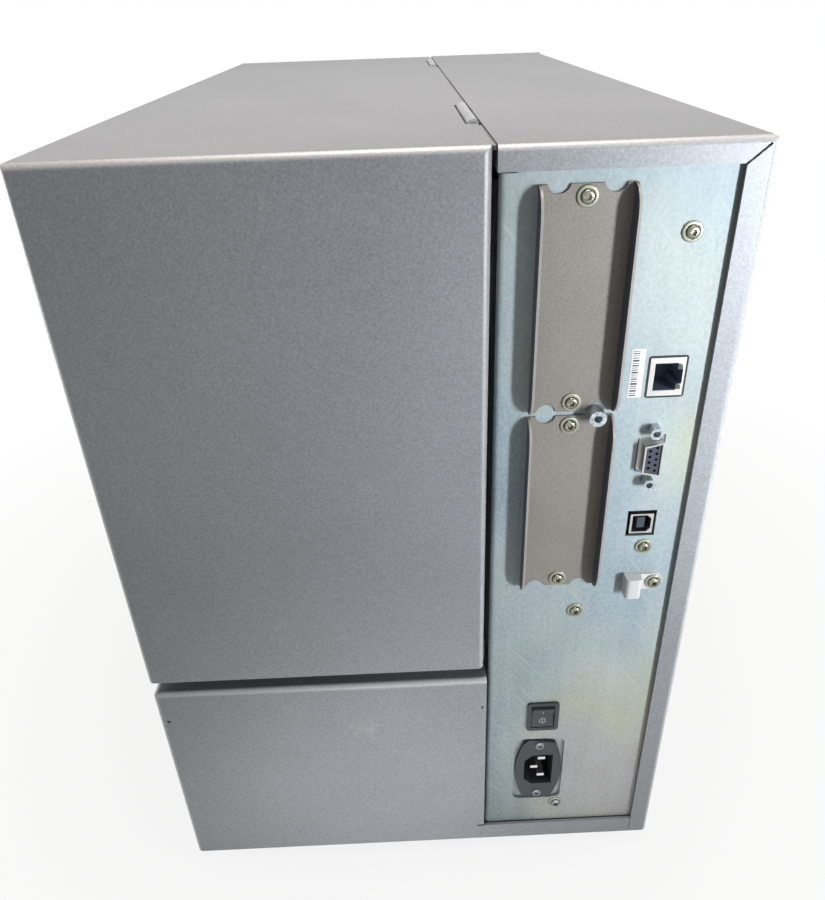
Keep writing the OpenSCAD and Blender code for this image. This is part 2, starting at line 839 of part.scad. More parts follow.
// Square data socket with its tongue
module data_socket() {
    face = panel_y + 0.3;
    mouth = [8.4, 8.8];
    mouth_cut = 1.8;
    tongue = [3.4, 5.6];
    color(steel) {
        difference() {
            slab(about(data_x, data_shell), [face - 16, face], about(data_z, data_shell));
            hull() {
                slab([data_x - mouth[0] / 2 + mouth_cut, data_x + mouth[0] / 2], [face - 9, face + over],
                     about(data_z, mouth[1]));
                slab(about(data_x, mouth[0]), [face - 9, face + over], about(data_z, mouth[1] - 2 * mouth_cut));
            }
        }
        slab(about(data_x, tongue[0]), [face - 9.5, face - 1], about(data_z, tongue[1]));
    }
}

// Nylon clip: a block with a slot for a lead, and a tab under its screw
module cable_clip() {
    p = clip_at;
    block_x = [p[0] + 6.4, p[0] + 13.8];
    block_z = [p[1] - 6.5, p[1] + 4.5];
    color(nylon)
        difference() {
            union() {
                slab(block_x, [panel_y, panel_y + clip_h], block_z);
                slab([p[0], block_x[0] + over], [panel_y, panel_y + clip_t], about(p[1], 9));
                rod_y(p[0], [panel_y, panel_y + clip_t], p[1], 4.5);
            }
            bend_z(block_z, block_x[0], panel_y + clip_h, -1, 1, 2);
            bend_z(block_z, block_x[1], panel_y + clip_h, 1, 1, 2);
            slab(grow(block_x, -2), [panel_y + clip_t, panel_y + 4.5], [block_z[0] - over, block_z[1] - 3]);
            rod_y(p[0], [panel_y - over, panel_y + clip_t + over], p[1], screw_r + hole_fit);
        }
}

// Snap-in frame of the power switch, open towards the rear
module switch_housing() {
    body = [switch_w - 2 - 2 * hole_fit, switch_h - 2 - 2 * hole_fit];
    deep = 17;
    well = [rocker_w + 0.8, rocker_h + 1.4];
    color(black)
        difference() {
            union() {
                plate_y([panel_y, panel_y + switch_frame_t])
                    rounded_2d([switch_x, switch_z], [switch_w, switch_h], switch_corner);
                slab(about(switch_x, body[0]), [panel_y - deep, panel_y], about(switch_z, body[1]));
            }
            slab(about(switch_x, well[0]), [panel_y - deep + switch_wall, panel_y + switch_frame_t + over],
                 about(switch_z, well[1]));
            rod_x(about(switch_x, rocker_w + 2.6), rocker_y, switch_z, rocker_pin_r + run_fit);
        }
}

// Rocker of the power switch, pressed in at its lower end
module power_rocker() {
    half = rocker_h / 2;
    reach = 3.4;
    dip = 1.8;
    color(dark)
        translate([switch_x, rocker_y, switch_z])
            rotate([-rocker_tilt, 0, 0]) {
                plate_x(about(0, rocker_w))
                    polygon([[-5, -half], [reach, -half], [reach - dip, 0], [reach, half], [-5, half]]);
                rod_x(about(0, rocker_w + 2.2), 0, 0, rocker_pin_r);
            }
}

// Power inlet with an eye-shaped flange, held by a screw at each end
module power_inlet() {
    color(black)
        difference() {
            union() {
                plate_y([inlet_seat, inlet_face])
                    translate([inlet_x, inlet_z])
                        polygon(concat(inlet_side(1), inlet_side(-1)));
                slab(about(inlet_x, inlet_body[0]), [inlet_seat - inlet_deep - 2, inlet_seat],
                     about(inlet_z, inlet_body[1]));
            }
            plate_y([inlet_face - inlet_deep, inlet_face + over])
                translate([inlet_x, inlet_z])
                    inlet_outline(inlet_socket);
            for (s = [-1, 1])
                rod_y(inlet_x, [inlet_seat - over, inlet_face + over],
                      inlet_z + s * inlet_pitch / 2, screw_r + hole_fit);
        }
}

// One bowed side of the inlet's flange, from its lower to its upper end
function inlet_side(s) = concat(
    [for (t = [-1:0.125:1]) s * [inlet_r - (inlet_r - inlet_end) * t * t, t * (inlet_h - inlet_corner)]],
    [s * [inlet_end - inlet_corner, inlet_h]]
);

// Outline of the inlet's socket: a rectangle with two cut corners
module inlet_outline(size) {
    w = size[0] / 2;
    h = size[1] / 2;
    cut = 4.5;
    polygon([[-w, -h], [w - cut, -h], [w, cut - h], [w, h - cut], [w - cut, h], [-w, h]]);
}

// Three flat pins in the inlet, the earth pin off the middle line
module inlet_pins() {
    back = inlet_face - inlet_deep;
    color(brass)
        for (at = [[-2, 7], [-2, -7], [2, 0]])
            slab(about(inlet_x + at[0], inlet_pin[1]), [back, inlet_face - 2],
                 about(inlet_z + at[1], inlet_pin[0]));
}

// ELECTRONICS BAY

// Vented steel cage of the power supply
module power_supply() {
    x = [xl + 6, bx0 - 5];
    y = [panel_y - panel_flange - psu_l, panel_y - panel_flange];
    z = [floor_z, switch_z + psu_rise];
    wall = 1.2;
    color(steel)
        difference() {
            slab(x, y, z);
            slab(grow(x, -wall), grow(y, -wall), grow(z, -wall));
            for (i = [0:8])
                slab(grow(x, -14), about(y[0] + 22 + i * 14, 5), [z[1] - 2 * wall, z[1] + over]);
        }
}

// Main board with its processor, memory and capacitors, notched for the data socket
module main_board() {
    y = board_y;
    z = board_z;
    top = board_x;
    color(board_green)
        difference() {
            union() {
                slab([board_x, board_x + board_t], y, z);
                slab([top - 3, top], about(y[0] + 70, 34), about(z[0] + 110, 34));
                slab([top - 2, top], about(y[0] + 120, 12), about(z[0] + 120, 40));
                for (i = [0:3])
                    rod_x([top - 12, top], y[0] + 30 + i * 14, z[0] + 30, 5);
            }
            slab(about(data_x, data_shell + 2 * slide_fit), [panel_y - 17, panel_y],
                 about(data_z, data_shell + 2 * slide_fit));
        }
}

// Four posts that hold the main board off the main frame
module board_standoffs() {
    color(brass)
        for (y = standoff_y, z = grow(board_z, -standoff_in))
            rod_x([board_x + board_t, bx0], y, z, 3);
}

// Plate on four legs that holds the drive motor off the main frame
module motor_bracket() {
    side = motor_w + 22;
    leg = motor_w / 2 + 5.5;
    color(steel)
        difference() {
            union() {
                slab([motor_face, motor_face + bracket_t], about(motor_y, side), about(motor_z, side));
                for (at = [[-leg, 0], [leg, 0], [0, -leg], [0, leg]])
                    rod_x([motor_face, bx0], motor_y + at[0], motor_z + at[1], 4);
            }
            rod_x(grow([motor_face, motor_face + bracket_t], over), motor_y, motor_z, 19.5);
        }
}

// Square stepper motor with its pilot boss
module drive_motor() {
    x = [motor_face - motor_l, motor_face];
    color(black)
        difference() {
            union() {
                slab(x, about(motor_y, motor_w), about(motor_z, motor_w));
                rod_x([motor_face, motor_face + 1.6], motor_y, motor_z, 19);
            }
            for (sy = [-1, 1], sz = [-1, 1])
                slab(grow(x, -6), about(motor_y + sy * motor_w / 2, 9),
                     about(motor_z + sz * motor_w / 2, 9));
            rod_x([motor_face - 30, motor_face + 2 * over], motor_y, motor_z, motor_shaft_r + run_fit);
        }
}

// Flanged pulley on the X axis
module pulley(y, z, r) {
    rod_x(pulley_x, y, z, r);
    for (x = [pulley_x[0] - pulley_flange, pulley_x[1]])
        rod_x([x, x + pulley_flange], y, z, r + belt_t + 0.6);
}
module motor_shaft() {
    color(steel) {
        rod_x([motor_face - 30, pulley_x[1] + 4], motor_y, motor_z, motor_shaft_r);
        pulley(motor_y, motor_z, motor_pulley_r);
    }
}

// Closed belt over the platen pulley and the motor pulley: two arcs and two straight runs
module drive_belt() {
    d = norm([motor_y - platen_y, motor_z - platen_z]);
    turn = atan2(motor_z - platen_z, motor_y - platen_y);
    r1 = platen_pulley_r + slide_fit;
    r2 = motor_pulley_r + slide_fit;
    lap = acos((r1 - r2) / d);
    width = pulley_x[1] - pulley_x[0] - 2 * slide_fit;
    color(rubber)
        translate([pulley_x[0] + slide_fit, platen_y, platen_z])
            rotate([90, 0, 90])
                rotate(turn) {
                    rotate(lap)
                        rotate_extrude(angle = 360 - 2 * lap)
                            translate([r1, 0])
                                square([belt_t, width]);
                    translate([d, 0])
                        rotate(-lap)
                            rotate_extrude(angle = 2 * lap)
                                translate([r2, 0])
                                    square([belt_t, width]);
                    rotate(lap - 90)
                        translate([0, r1, 0])
                            cube([d * sin(lap), belt_t, width]);
                    rotate(90 - lap)
                        translate([0, -r1 - belt_t, 0])
                            cube([d * sin(lap), belt_t, width]);
                }
}

// Gear motors that turn the ribbon spindles
module ribbon_motors() {
    color(dark)
        for (y = spindle_y)
            difference() {
                rod_x(ribbon_motor_x, y, spindle_z, ribbon_motor_r);
                rod_x([ribbon_motor_x[0] + 12, bx0 + over], y, spindle_z, spindle_shaft_r + run_fit);
                rod_x([bx0 - 4, bx0 + over], y, spindle_z, bearing_flange_r + 1);
            }
}

// LID

// Lid over the media bay: top, rear wall, front wall with the label exit, strip above the fold
module media_cover() {
    x = [xm, xr];
    color(paint)
        difference() {
            union() {
                slab(x, [yf, yr], [zt - sheet_t, zt]);
                slab([xr - sheet_t, xr], [yf, yr], [fold_z + fold_gap, zt]);
                for (y = [[yf, yf + sheet_t], [yr - sheet_t, yr]])
                    slab(x, y, [cover_z, zt]);
                for (y = [[yf, yf + return_d], [yr - return_d, yr]])
                    slab([xr - sheet_t, xr], y, [cover_z, zt]);
                for (y = [[yf, yf + seam_return], [yr - seam_return, yr]])
                    slab([xm, xm + sheet_t], y, [cover_z, zt]);
                fold_knuckles(0, 1);
            }
            slab([xm - over, xr - leg_w], [yf - over, yf + seam_return + over], [cover_z - over, mouth_z]);
            bend_x(x, yr, zt, 1, 1);
            bend_x(x, yf, zt, -1, 1);
            bend_y([yf, yr], xr, zt, 1, 1);
            bend_z([cover_z, zt], xr, yr, 1, 1);
            bend_z([cover_z, zt], xr, yf, 1, -1);
            bend_z([cover_z, zt], xm, yr, -1, 1);
            for (s = [-1, 1])
                slab([xm - over, hinge_x + hinge_r + 0.9], about(s * hinge_y, hinge_l + 4),
                     [zt - sheet_t - over, zt + over]);
            rod_y(xr, grow(door_y, over), fold_z, fold_pin_r + run_fit);
        }
}

// Every second knuckle of the fold; side 1 joins the strip above, side -1 the door below
module fold_knuckles(first, side) {
    pitch = (door_y[1] - door_y[0]) / fold_count;
    for (i = [first:2:fold_count - 1]) {
        y = [door_y[0] + i * pitch + knuckle_gap / 2, door_y[0] + (i + 1) * pitch - knuckle_gap / 2];
        rod_y(xr, y, fold_z, fold_r);
        slab([xr - sheet_t, xr], y, sorted(fold_z, fold_z + side * (fold_gap + over)));
    }
}

// Fold-up side door with the window opening and a finger lip along its lower edge
module window_door() {
    color(paint)
        difference() {
            union() {
                slab([xr - sheet_t, xr], door_y, [cover_z, fold_z - fold_gap]);
                slab([xr - door_lip, xr], door_y, [cover_z, cover_z + sheet_t]);
                fold_knuckles(1, -1);
            }
            plate_x(grow([xr - sheet_t, xr], over))
                rounded_2d([0, window_z], [window_w, window_h], window_r);
            bend_y(door_y, xr, cover_z, 1, -1);
            rod_y(xr, grow(door_y, over), fold_z, fold_pin_r + run_fit);
        }
}
module door_window() {
    color(clear)
        plate_x([xr - sheet_t - pane_t, xr - sheet_t])
            rounded_2d([0, window_z], [window_w + 2 * pane_lap, window_h + 2 * pane_lap], window_r);
}

// Lid hinges: the middle knuckle stays with the electronics cover, the outer ones turn with the lid
module hinge_fixed_leaves() {
    color(steel)
        for (s = [-1, 1])
            difference() {
                union() {
                    slab([xe, xe + leaf_t], about(s * hinge_y, hinge_l),
                         [zt - seam_flange, hinge_z - hinge_r - hinge_clear]);
                    slab([xe, xe + leaf_t], about(s * hinge_y, hinge_mid), [zt - seam_flange, hinge_z]);
                    rod_y(hinge_x, about(s * hinge_y, hinge_mid), hinge_z, hinge_r);
                }
                rod_y(hinge_x, about(s * hinge_y, hinge_l), hinge_z, hinge_pin_r + run_fit);
            }
}
module hinge_moving_leaves() {
    leaf_z = [zt - sheet_t - leaf_t, zt - sheet_t];
    near = hinge_x + hinge_r + hinge_clear;
    color(steel)
        for (s = [-1, 1]) {
            inner = hinge_mid / 2 + knuckle_gap;
            ends = [[-hinge_l / 2, -inner], [inner, hinge_l / 2]];
            difference() {
                union() {
                    slab([near, near + leaf_w], about(s * hinge_y, hinge_l), leaf_z);
                    for (e = ends) {
                        y = [s * hinge_y + e[0], s * hinge_y + e[1]];
                        slab([hinge_x, near + over], y, leaf_z);
                        rod_y(hinge_x, y, hinge_z, hinge_r);
                    }
                }
                rod_y(hinge_x, about(s * hinge_y, hinge_l + 2 * over), hinge_z, hinge_pin_r + run_fit);
            }
        }
}

// Pins of the two lid hinges and the long pin of the fold
module hinge_pins() {
    color(steel) {
        for (s = [-1, 1])
            rod_y(hinge_x, about(s * hinge_y, hinge_l), hinge_z, hinge_pin_r);
        rod_y(xr, door_y, fold_z, fold_pin_r);
    }
}

// FRONT PANEL

// Moulded bezel over the front of the electronics bay
module front_bezel() {
    x = [xl, xe];
    color(dark)
        difference() {
            slab(x, [bezel_y, yf], [zb, zt]);
            slab(grow(x, -bezel_t), [bezel_in, yf + over], grow([zb, zt], -bezel_t));
            for (s = [[xl, -1], [xe, 1]])
                bend_z([zb, zt], s[0], bezel_y, s[1], -1, bezel_r);
            bend_x(x, bezel_y, zt, -1, 1, bezel_r);
            slab(about(front_x, lens_w), [bezel_y - over, bezel_in + over], about(lens_z, lens_h));
            for (i = [-1:1])
                slab(about(front_x + i * key_pitch, key_w + 2 * slide_fit),
                     [bezel_y - over, bezel_in + over],
                     about(key_z, key_h + 2 * slide_fit));
            for (s = [-1, 1])
                slab(about(front_x + s * host_pitch / 2, host_size[0] + 2 * slide_fit),
                     [bezel_y - over, bezel_in + over],
                     about(host_z, host_size[1] + 2 * slide_fit));
        }
}
module display_lens() {
    color(clear)
        slab(about(front_x, lens_w - 2 * hole_fit), [bezel_y + 0.4, bezel_in],
             about(lens_z, lens_h - 2 * hole_fit));
}
module display_module() {
    color(black)
        slab(about(front_x, lens_w + 2 * module_lap), [bezel_in, panel_board_y],
             about(lens_z, lens_h + 2 * module_lap));
}
module panel_board() {
    color(board_green)
        slab(about(front_x, lens_w + 2 * module_lap), [panel_board_y, panel_board_y + board_t],
             [host_z - host_size[1], lens_z + lens_h / 2 + module_lap]);
}

// Two sockets for a memory stick or a keyboard, each with its tongue
module host_sockets() {
    wall = 0.9;
    color(steel)
        for (s = [-1, 1]) {
            x = about(front_x + s * host_pitch / 2, host_size[0]);
            z = about(host_z, host_size[1]);
            difference() {
                slab(x, [bezel_y + 0.3, panel_board_y], z);
                slab(grow(x, -wall), [bezel_y - over, panel_board_y - wall], grow(z, -wall));
            }
            slab(grow(x, -2), [bezel_y + 1.5, panel_board_y - wall / 2], [z[0] + 1.6, z[0] + 3.4]);
        }
}

// Push key: a cap with a flange behind the bezel and a stem towards its switch
module push_key(i) {
    x = front_x + i * key_pitch;
    flange_y = [bezel_in + 0.2, bezel_in + 0.2 + 1.2];
    color(nylon)
        union() {
            slab(about(x, key_w), [bezel_y - key_proud, flange_y[1]], about(key_z, key_h));
            slab(about(x, key_w + 3), flange_y, about(key_z, key_h + 3));
            rod_y(x, [flange_y[1], panel_board_y - key_travel - 0.3], key_z, 2);
        }
}
module pause_key() push_key(-1);
module feed_key() push_key(0);
module cancel_key() push_key(1);

// PRINT MECHANISM

// Outer plate of the mechanism, standing on the case floor
module mech_side_plate() {
    foot = 16;
    y = [frame_y[0], head_y + 50];
    top = latch_z + 16;
    color(steel)
        difference() {
            union() {
                plate_x([mx0, mx1])
                    polygon([
                        [y[0], floor_z], [y[0], platen_z + 24], [latch_y - 24, top],
                        [head_y + 16, top], [y[1], rod_z0 + 10], [y[1], floor_z]
                    ]);
                slab([mx0 - foot, mx0], y, [floor_z, floor_z + mech_t]);
            }
            rod_x(grow([mx0, mx1], over), platen_y, platen_z, bearing_r + run_fit);
            rod_x(grow([mx0, mx1], over), head_y, head_z, head_shaft_r + run_fit);
            rod_x(grow([mx0, mx1], over), latch_y, latch_z, latch_r + run_fit);
            rod_x(grow([mx0, mx1], over), rod_y0, rod_z0, guide_rod_r + run_fit);
        }
}

// Bed that the labels slide over, between the main frame and the side plate
module media_platform() {
    z = [platform_z - 5, platform_z];
    color(steel)
        difference() {
            union() {
                slab([bx1, mx0], platform_y, z);
                rod_x([bx1, mx0], platform_y[1], z[0], 5);
            }
            for (i = [1:4])
                slab([bx1 + i * 24 - 4, bx1 + i * 24 + 4], grow(platform_y, -24), grow(z, over));
        }
}

// Bar that labels are torn off against, in front of the platen
module tear_bar() {
    y = [frame_y[0], frame_y[0] + 2.4];
    top = platen_z + platen_r - 1;
    color(steel)
        plate_x([bx1, mx0])
            polygon([
                [y[0], top - 14], [y[0], top], [y[0] + 0.8, top],
                [y[1], top - 3], [y[1], top - 14]
            ]);
}

// Flanged bearings of the platen and of the ribbon spindles
module roller_bearings() {
    color(brass) {
        bearing([bx0, bx1 + 2.5], platen_y, platen_z, platen_shaft_r, true);
        bearing([mx0 - 2.5, mx1], platen_y, platen_z, platen_shaft_r, false);
        for (y = spindle_y)
            bearing([bx0, bx1 + 2.5], y, spindle_z, spindle_shaft_r, true);
    }
}
module bearing(x, y, z, bore_r, flange_high) {
    flange_x = flange_high ? [x[1] - 2.5, x[1]] : [x[0], x[0] + 2.5];
    difference() {
        union() {
            rod_x(x, y, z, bearing_r);
            rod_x(flange_x, y, z, bearing_flange_r);
        }
        rod_x(grow(x, over), y, z, bore_r + run_fit);
    }
}

// Rubber sleeve of the platen, and the shaft that carries it and the drive pulley
module platen_roller() {
    color(rubber)
        difference() {
            rod_x(platen_x, platen_y, platen_z, platen_r);
            rod_x(grow(platen_x, over), platen_y, platen_z, platen_shaft_r + run_fit);
        }
}
module platen_shaft() {
    color(steel) {
        rod_x([pulley_x[0] - pulley_flange, mx1 + 3], platen_y, platen_z, platen_shaft_r);
        pulley(platen_y, platen_z, platen_pulley_r);
    }
}

// Shaft that the print head swings on
module head_pivot_shaft() {
    color(steel)
        rod_x([bx0, mx1], head_y, head_z, head_shaft_r);
}

// Two arms on the pivot shaft, joined by a plate over the print head
module head_carrier() {
    arms = [[head_x[0], head_x[0] + head_arm], [head_x[1] - head_arm, head_x[1]]];
    color(steel)
        difference() {
            union() {
                slab(head_x, [head_front, head_y - head_boss_r - 8], [plate_low, head_top]);
                for (x = arms) {
                    slab(x, [head_front, head_y], [plate_low - 6, head_top]);
                    rod_x(x, head_y, head_z, head_boss_r);
                }
            }
            rod_x(grow(head_x, over), head_y, head_z, head_shaft_r + run_fit);
        }
}

// Finned heat sink under the carrier and the thermal print head under it
module heat_sink() {
    x = grow(head_x, -head_arm);
    y = [head_front, platen_y + 17];
    color(steel)
        difference() {
            slab(x, y, [sink_z, plate_low]);
            for (i = [0:8])
                slab(about(x[0] + 7 + i * (x[1] - x[0] - 14) / 8, 5), grow(y, over),
                     [sink_z + 4, plate_low - 3]);
        }
}
module print_head() {
    y = [head_front, platen_y + 15];
    color(black)
        plate_x(grow(head_x, -2))
            polygon([
                [y[0], head_low + 3], [y[0], sink_z], [y[1], sink_z], [y[1], head_low + 3],
                [platen_y + 7, head_low], [platen_y - 5, head_low]
            ]);
}

// Latch shaft with two pressure arms that hold the head carrier down
module latch_shaft() {
    arm_x = [for (f = [0.25, 0.75]) about(head_x[0] + f * (head_x[1] - head_x[0]), 10)];
    color(steel) {
        rod_x([bx0, lever_x[1]], latch_y, latch_z, latch_r);
        for (x = arm_x)
            plate_x(x)
                translate([latch_y, latch_z])
                    rotate(-90 - latch_angle)
                        link(latch_reach, latch_r + 3, latch_roller_r);
    }
}

// Lever on the end of the latch shaft, with a broad grip
module head_lever() {
    grip_l = 30;
    color([0.2, 0.45, 0.5])
        difference() {
            union() {
                plate_x(lever_x)
                    translate([latch_y, latch_z])
                        rotate(180 - lever_rise)
                            link(lever_l, latch_r + 5, 5);
                plate_x([lever_x[0], lever_x[1] + 9])
                    translate([latch_y, latch_z])
                        rotate(180 - lever_rise)
                            translate([lever_l - grip_l, 0])
                                link(grip_l, 4, 5);
            }
            rod_x(grow(lever_x, over), latch_y, latch_z, latch_r + run_fit);
        }
}

// RIBBON AND MEDIA

// Spindle: shaft from its gear motor, hub with three clamping blades and an inner flange
module spindle(y) {
    blades = 3;
    hub_r = spindle_r - 3;
    rod_x([ribbon_motor_x[0] + 14, spindle_x[1]], y, spindle_z, spindle_shaft_r);
    rod_x(spindle_x, y, spindle_z, hub_r);
    rod_x([spindle_x[0], spindle_x[0] + 3], y, spindle_z, spindle_r + 9);
    for (i = [0:blades - 1])
        translate([0, y, spindle_z])
            rotate([i * 360 / blades, 0, 0])
                slab([spindle_x[0] + 3, spindle_x[1] - 6], [-3, 3], [0, spindle_r]);
}
module supply_spindle() {
    color(dark)
        spindle(spindle_y[1]);
}
module takeup_spindle() {
    color(dark)
        spindle(spindle_y[0]);
}

// Rail that the label roll hangs on, with an upturned end
module media_hanger() {
    y = about(hanger_y, 2 * rail_w);
    z = about(hanger_z, 2 * rail_h);
    color(dark)
        union() {
            slab([bx1, hanger_end], y, z);
            slab([hanger_end - 4, hanger_end], y, [z[0], z[1] + 16]);
            slab([bx1, bx1 + 5], grow(y, 12), grow(z, 12));
        }
}

// Plate that slides along the rail up to the side of the label roll
module media_guide() {
    rail = [rail_w + slide_fit, rail_h + slide_fit];
    color(nylon)
        difference() {
            plate_x(guide_x)
                rounded_2d([hanger_y, hanger_z], [76, 92], 16);
            slab(grow(guide_x, over), about(hanger_y, 2 * rail[0]), about(hanger_z, 2 * rail[1]));
        }
}

// Dancer: a swinging arm whose roller takes up slack in the label web
module dancer_arm() {
    end = [dancer_y + dancer_arm_l * cos(dancer_angle), dancer_z + dancer_arm_l * sin(dancer_angle)];
    color(steel)
        difference() {
            union() {
                plate_x(dancer_x)
                    translate([dancer_y, dancer_z])
                        rotate(dancer_angle)
                            link(dancer_arm_l, dancer_pin_r + 5, dancer_axle_r + 4);
                rod_x([dancer_x[1], mx0 - 6], end[0], end[1], dancer_axle_r);
            }
            rod_x(grow(dancer_x, over), dancer_y, dancer_z, dancer_pin_r + run_fit);
        }
}
module dancer_roller() {
    end = [dancer_y + dancer_arm_l * cos(dancer_angle), dancer_z + dancer_arm_l * sin(dancer_angle)];
    x = [dancer_x[1] + slide_fit, mx0 - 8];
    color(dark)
        difference() {
            rod_x(x, end[0], end[1], dancer_r);
            rod_x(grow(x, over), end[0], end[1], dancer_axle_r + run_fit);
        }
}

// Rod behind the print head, and the guide for the label's edge that slides on it
module guide_rod() {
    color(steel)
        rod_x([bx0, mx1], rod_y0, rod_z0, guide_rod_r);
}
module edge_guide() {
    hub_r = guide_rod_r + 3.5;
    color(nylon)
        difference() {
            union() {
                rod_x(about(edge_x, 14), rod_y0, rod_z0, hub_r);
                slab(about(edge_x, 4), [rod_y0 - 12, rod_y0 + 22],
                     [platform_z + slide_fit, rod_z0 + hub_r]);
            }
            rod_x(about(edge_x, 14 + 2 * over), rod_y0, rod_z0, guide_rod_r + run_fit);
        }
}

base_tray();
rubber_feet();
main_frame();
electronics_cover();
rear_panel();
slot_cover_upper();
slot_cover_lower();
panel_screws();
ground_post();
network_socket();
serial_port();
jack_screws();
data_socket();
cable_clip();
switch_housing();
power_rocker();
power_inlet();
inlet_pins();
power_supply();
main_board();
board_standoffs();
media_cover();
window_door();
door_window();
hinge_fixed_leaves();
hinge_moving_leaves();
hinge_pins();
front_bezel();
display_lens();
display_module();
panel_board();
host_sockets();
pause_key();
feed_key();
cancel_key();
mech_side_plate();
media_platform();
tear_bar();
roller_bearings();
platen_roller();
platen_shaft();
head_pivot_shaft();
head_carrier();
heat_sink();
print_head();
latch_shaft();
head_lever();
motor_bracket();
drive_motor();
motor_shaft();
drive_belt();
ribbon_motors();
supply_spindle();
takeup_spindle();
media_hanger();
media_guide();
dancer_arm();
dancer_roller();
guide_rod();
edge_guide();
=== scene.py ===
# A free-standing industrial label printer, seen from behind and a little above.
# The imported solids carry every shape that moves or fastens; this script gives them their finishes,
# adds the fine parts that sit on them, and sets the studio round them.

import math

import bpy
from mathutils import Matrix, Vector


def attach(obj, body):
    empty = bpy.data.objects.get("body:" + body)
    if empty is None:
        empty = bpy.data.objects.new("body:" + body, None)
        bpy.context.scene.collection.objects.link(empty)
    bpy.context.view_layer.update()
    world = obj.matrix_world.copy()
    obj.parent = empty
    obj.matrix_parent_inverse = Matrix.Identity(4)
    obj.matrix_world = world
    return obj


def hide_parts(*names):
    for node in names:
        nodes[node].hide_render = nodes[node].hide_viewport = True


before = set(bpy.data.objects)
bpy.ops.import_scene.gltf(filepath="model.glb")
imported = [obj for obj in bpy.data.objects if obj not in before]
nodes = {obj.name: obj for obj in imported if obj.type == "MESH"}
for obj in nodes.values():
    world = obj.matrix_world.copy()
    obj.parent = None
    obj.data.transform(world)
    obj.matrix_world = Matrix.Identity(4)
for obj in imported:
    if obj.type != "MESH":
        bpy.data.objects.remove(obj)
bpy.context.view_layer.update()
mm = 0.001


# The viewpoint: a wide lens held close behind the machine, over the seam between its two bays.
# The place and the three turns were found from the corners of the case and of the panel.
# The shift puts the lens axis a few pixels off the middle of the 825 by 900 frame.
camera_place = (-2.8 * mm, 519.7 * mm, 436.5 * mm)
camera_turn_deg = (59.354, 1.750, 178.182)
focal_px = 764.0
axis_px = (418.2, 454.3)
frame_px = (825, 900)

bpy.ops.object.select_all(action="DESELECT")
bpy.ops.object.camera_add(location=camera_place, rotation=[math.radians(a) for a in camera_turn_deg])
camera = bpy.context.object
camera.data.sensor_fit = "AUTO"
camera.data.sensor_width = 36.0
camera.data.lens = focal_px * camera.data.sensor_width / frame_px[1]
camera.data.shift_x = (frame_px[0] / 2 - axis_px[0]) / frame_px[1]
camera.data.shift_y = (axis_px[1] - frame_px[1] / 2) / frame_px[1]
camera.data.clip_start = 0.01
bpy.context.scene.camera = camera


# The painted case: folded steel sheet for the base tray, the electronics cover, the lid and its door.
# One silver-grey metallic paint covers them, with a fine grain, light rub marks and a painted highlight
# along the folds.
# Wire lets a material's sockets stand in sums and products, and makes every other node.
class Wire:
    """A socket in a material's nodes that can stand in a sum, a difference, a product or a comparison."""

    def __init__(self, tree, socket):
        self.tree = tree
        self.socket = socket

    def node(self, kind, settings, sockets, out=0):
        """Any node: its settings are set first, then its sockets are set or linked."""
        made = self.tree.nodes.new(kind)
        for name, value in settings.items():
            if name == "stops":
                stops = made.color_ramp.elements
                stops[0].position, stops[0].color = value[0]
                stops[1].position, stops[1].color = value[-1]
                for place, colour in value[1:-1]:
                    stops.new(place).color = colour
            else:
                setattr(made, name, value)
        for name, value in sockets.items():
            self.feed(made, name, value)
        return Wire(self.tree, made.outputs[out])

    def feed(self, made, name, value):
        if isinstance(value, Wire):
            self.tree.links.new(value.socket, made.inputs[name])
        else:
            made.inputs[name].default_value = value

    def maths(self, operation, first, second=0.0):
        return self.node("ShaderNodeMath", {"operation": operation}, {0: first, 1: second})

    def __add__(self, other):
        return self.maths("ADD", self, other)

    __radd__ = __add__

    def __sub__(self, other):
        return self.maths("SUBTRACT", self, other)

    def __rsub__(self, other):
        return self.maths("SUBTRACT", other, self)

    def __mul__(self, other):
        return self.maths("MULTIPLY", self, other)

    def __gt__(self, other):
        return self.maths("GREATER_THAN", self, other)

    def __lt__(self, other):
        return self.maths("LESS_THAN", self, other)

    def __or__(self, other):
        return self.maths("MAXIMUM", self, other)

    def __abs__(self):
        return self.maths("ABSOLUTE", self)

    def noise(self, scale, detail=2.0, roughness=0.5, stretch=None, lean_deg=0):
        """A cloud pattern from 0 to 1 on these coordinates, scale cells to the metre.
        Stretch gives the share of the scale along each axis, once the pattern leans about Y."""
        place = self
        if stretch:
            place = self.node("ShaderNodeMapping", {"vector_type": "TEXTURE"},
                              {"Vector": self, "Rotation": (0, math.radians(lean_deg), 0),
                               "Scale": [1 / share for share in stretch]})
        return self.node("ShaderNodeTexNoise", {}, {"Vector": place, "Scale": scale, "Detail": detail,
                                                    "Roughness": roughness})

    def ramp(self, *stops):
        """This value read off a ramp, given as (place, grey level) or (place, colour)."""
        whole = [(place, level if isinstance(level, tuple) else (level, level, level, 1))
                 for place, level in stops]
        return self.node("ShaderNodeValToRGB", {"stops": whole}, {"Fac": self})

    def mix(self, low, high):
        """The colour that goes from low to high as this value goes from 0 to 1."""
        return self.node("ShaderNodeMix", {"data_type": "RGBA"}, {0: self, 6: low, 7: high}, out=2)

    def axes(self):
        """The x, y and z of these coordinates as three values."""
        split = self.node("ShaderNodeSeparateXYZ", {}, {"Vector": self})
        return [Wire(self.tree, split.socket.node.outputs[i]) for i in range(3)]

    def facing(self):
        """The x, y and z of the direction that the surface faces."""
        return Wire(self.tree, self.socket.node.outputs["Normal"]).axes()

    def bump(self, strength, distance):
        return self.node("ShaderNodeBump", {}, {"Strength": strength, "Distance": distance, "Height": self})


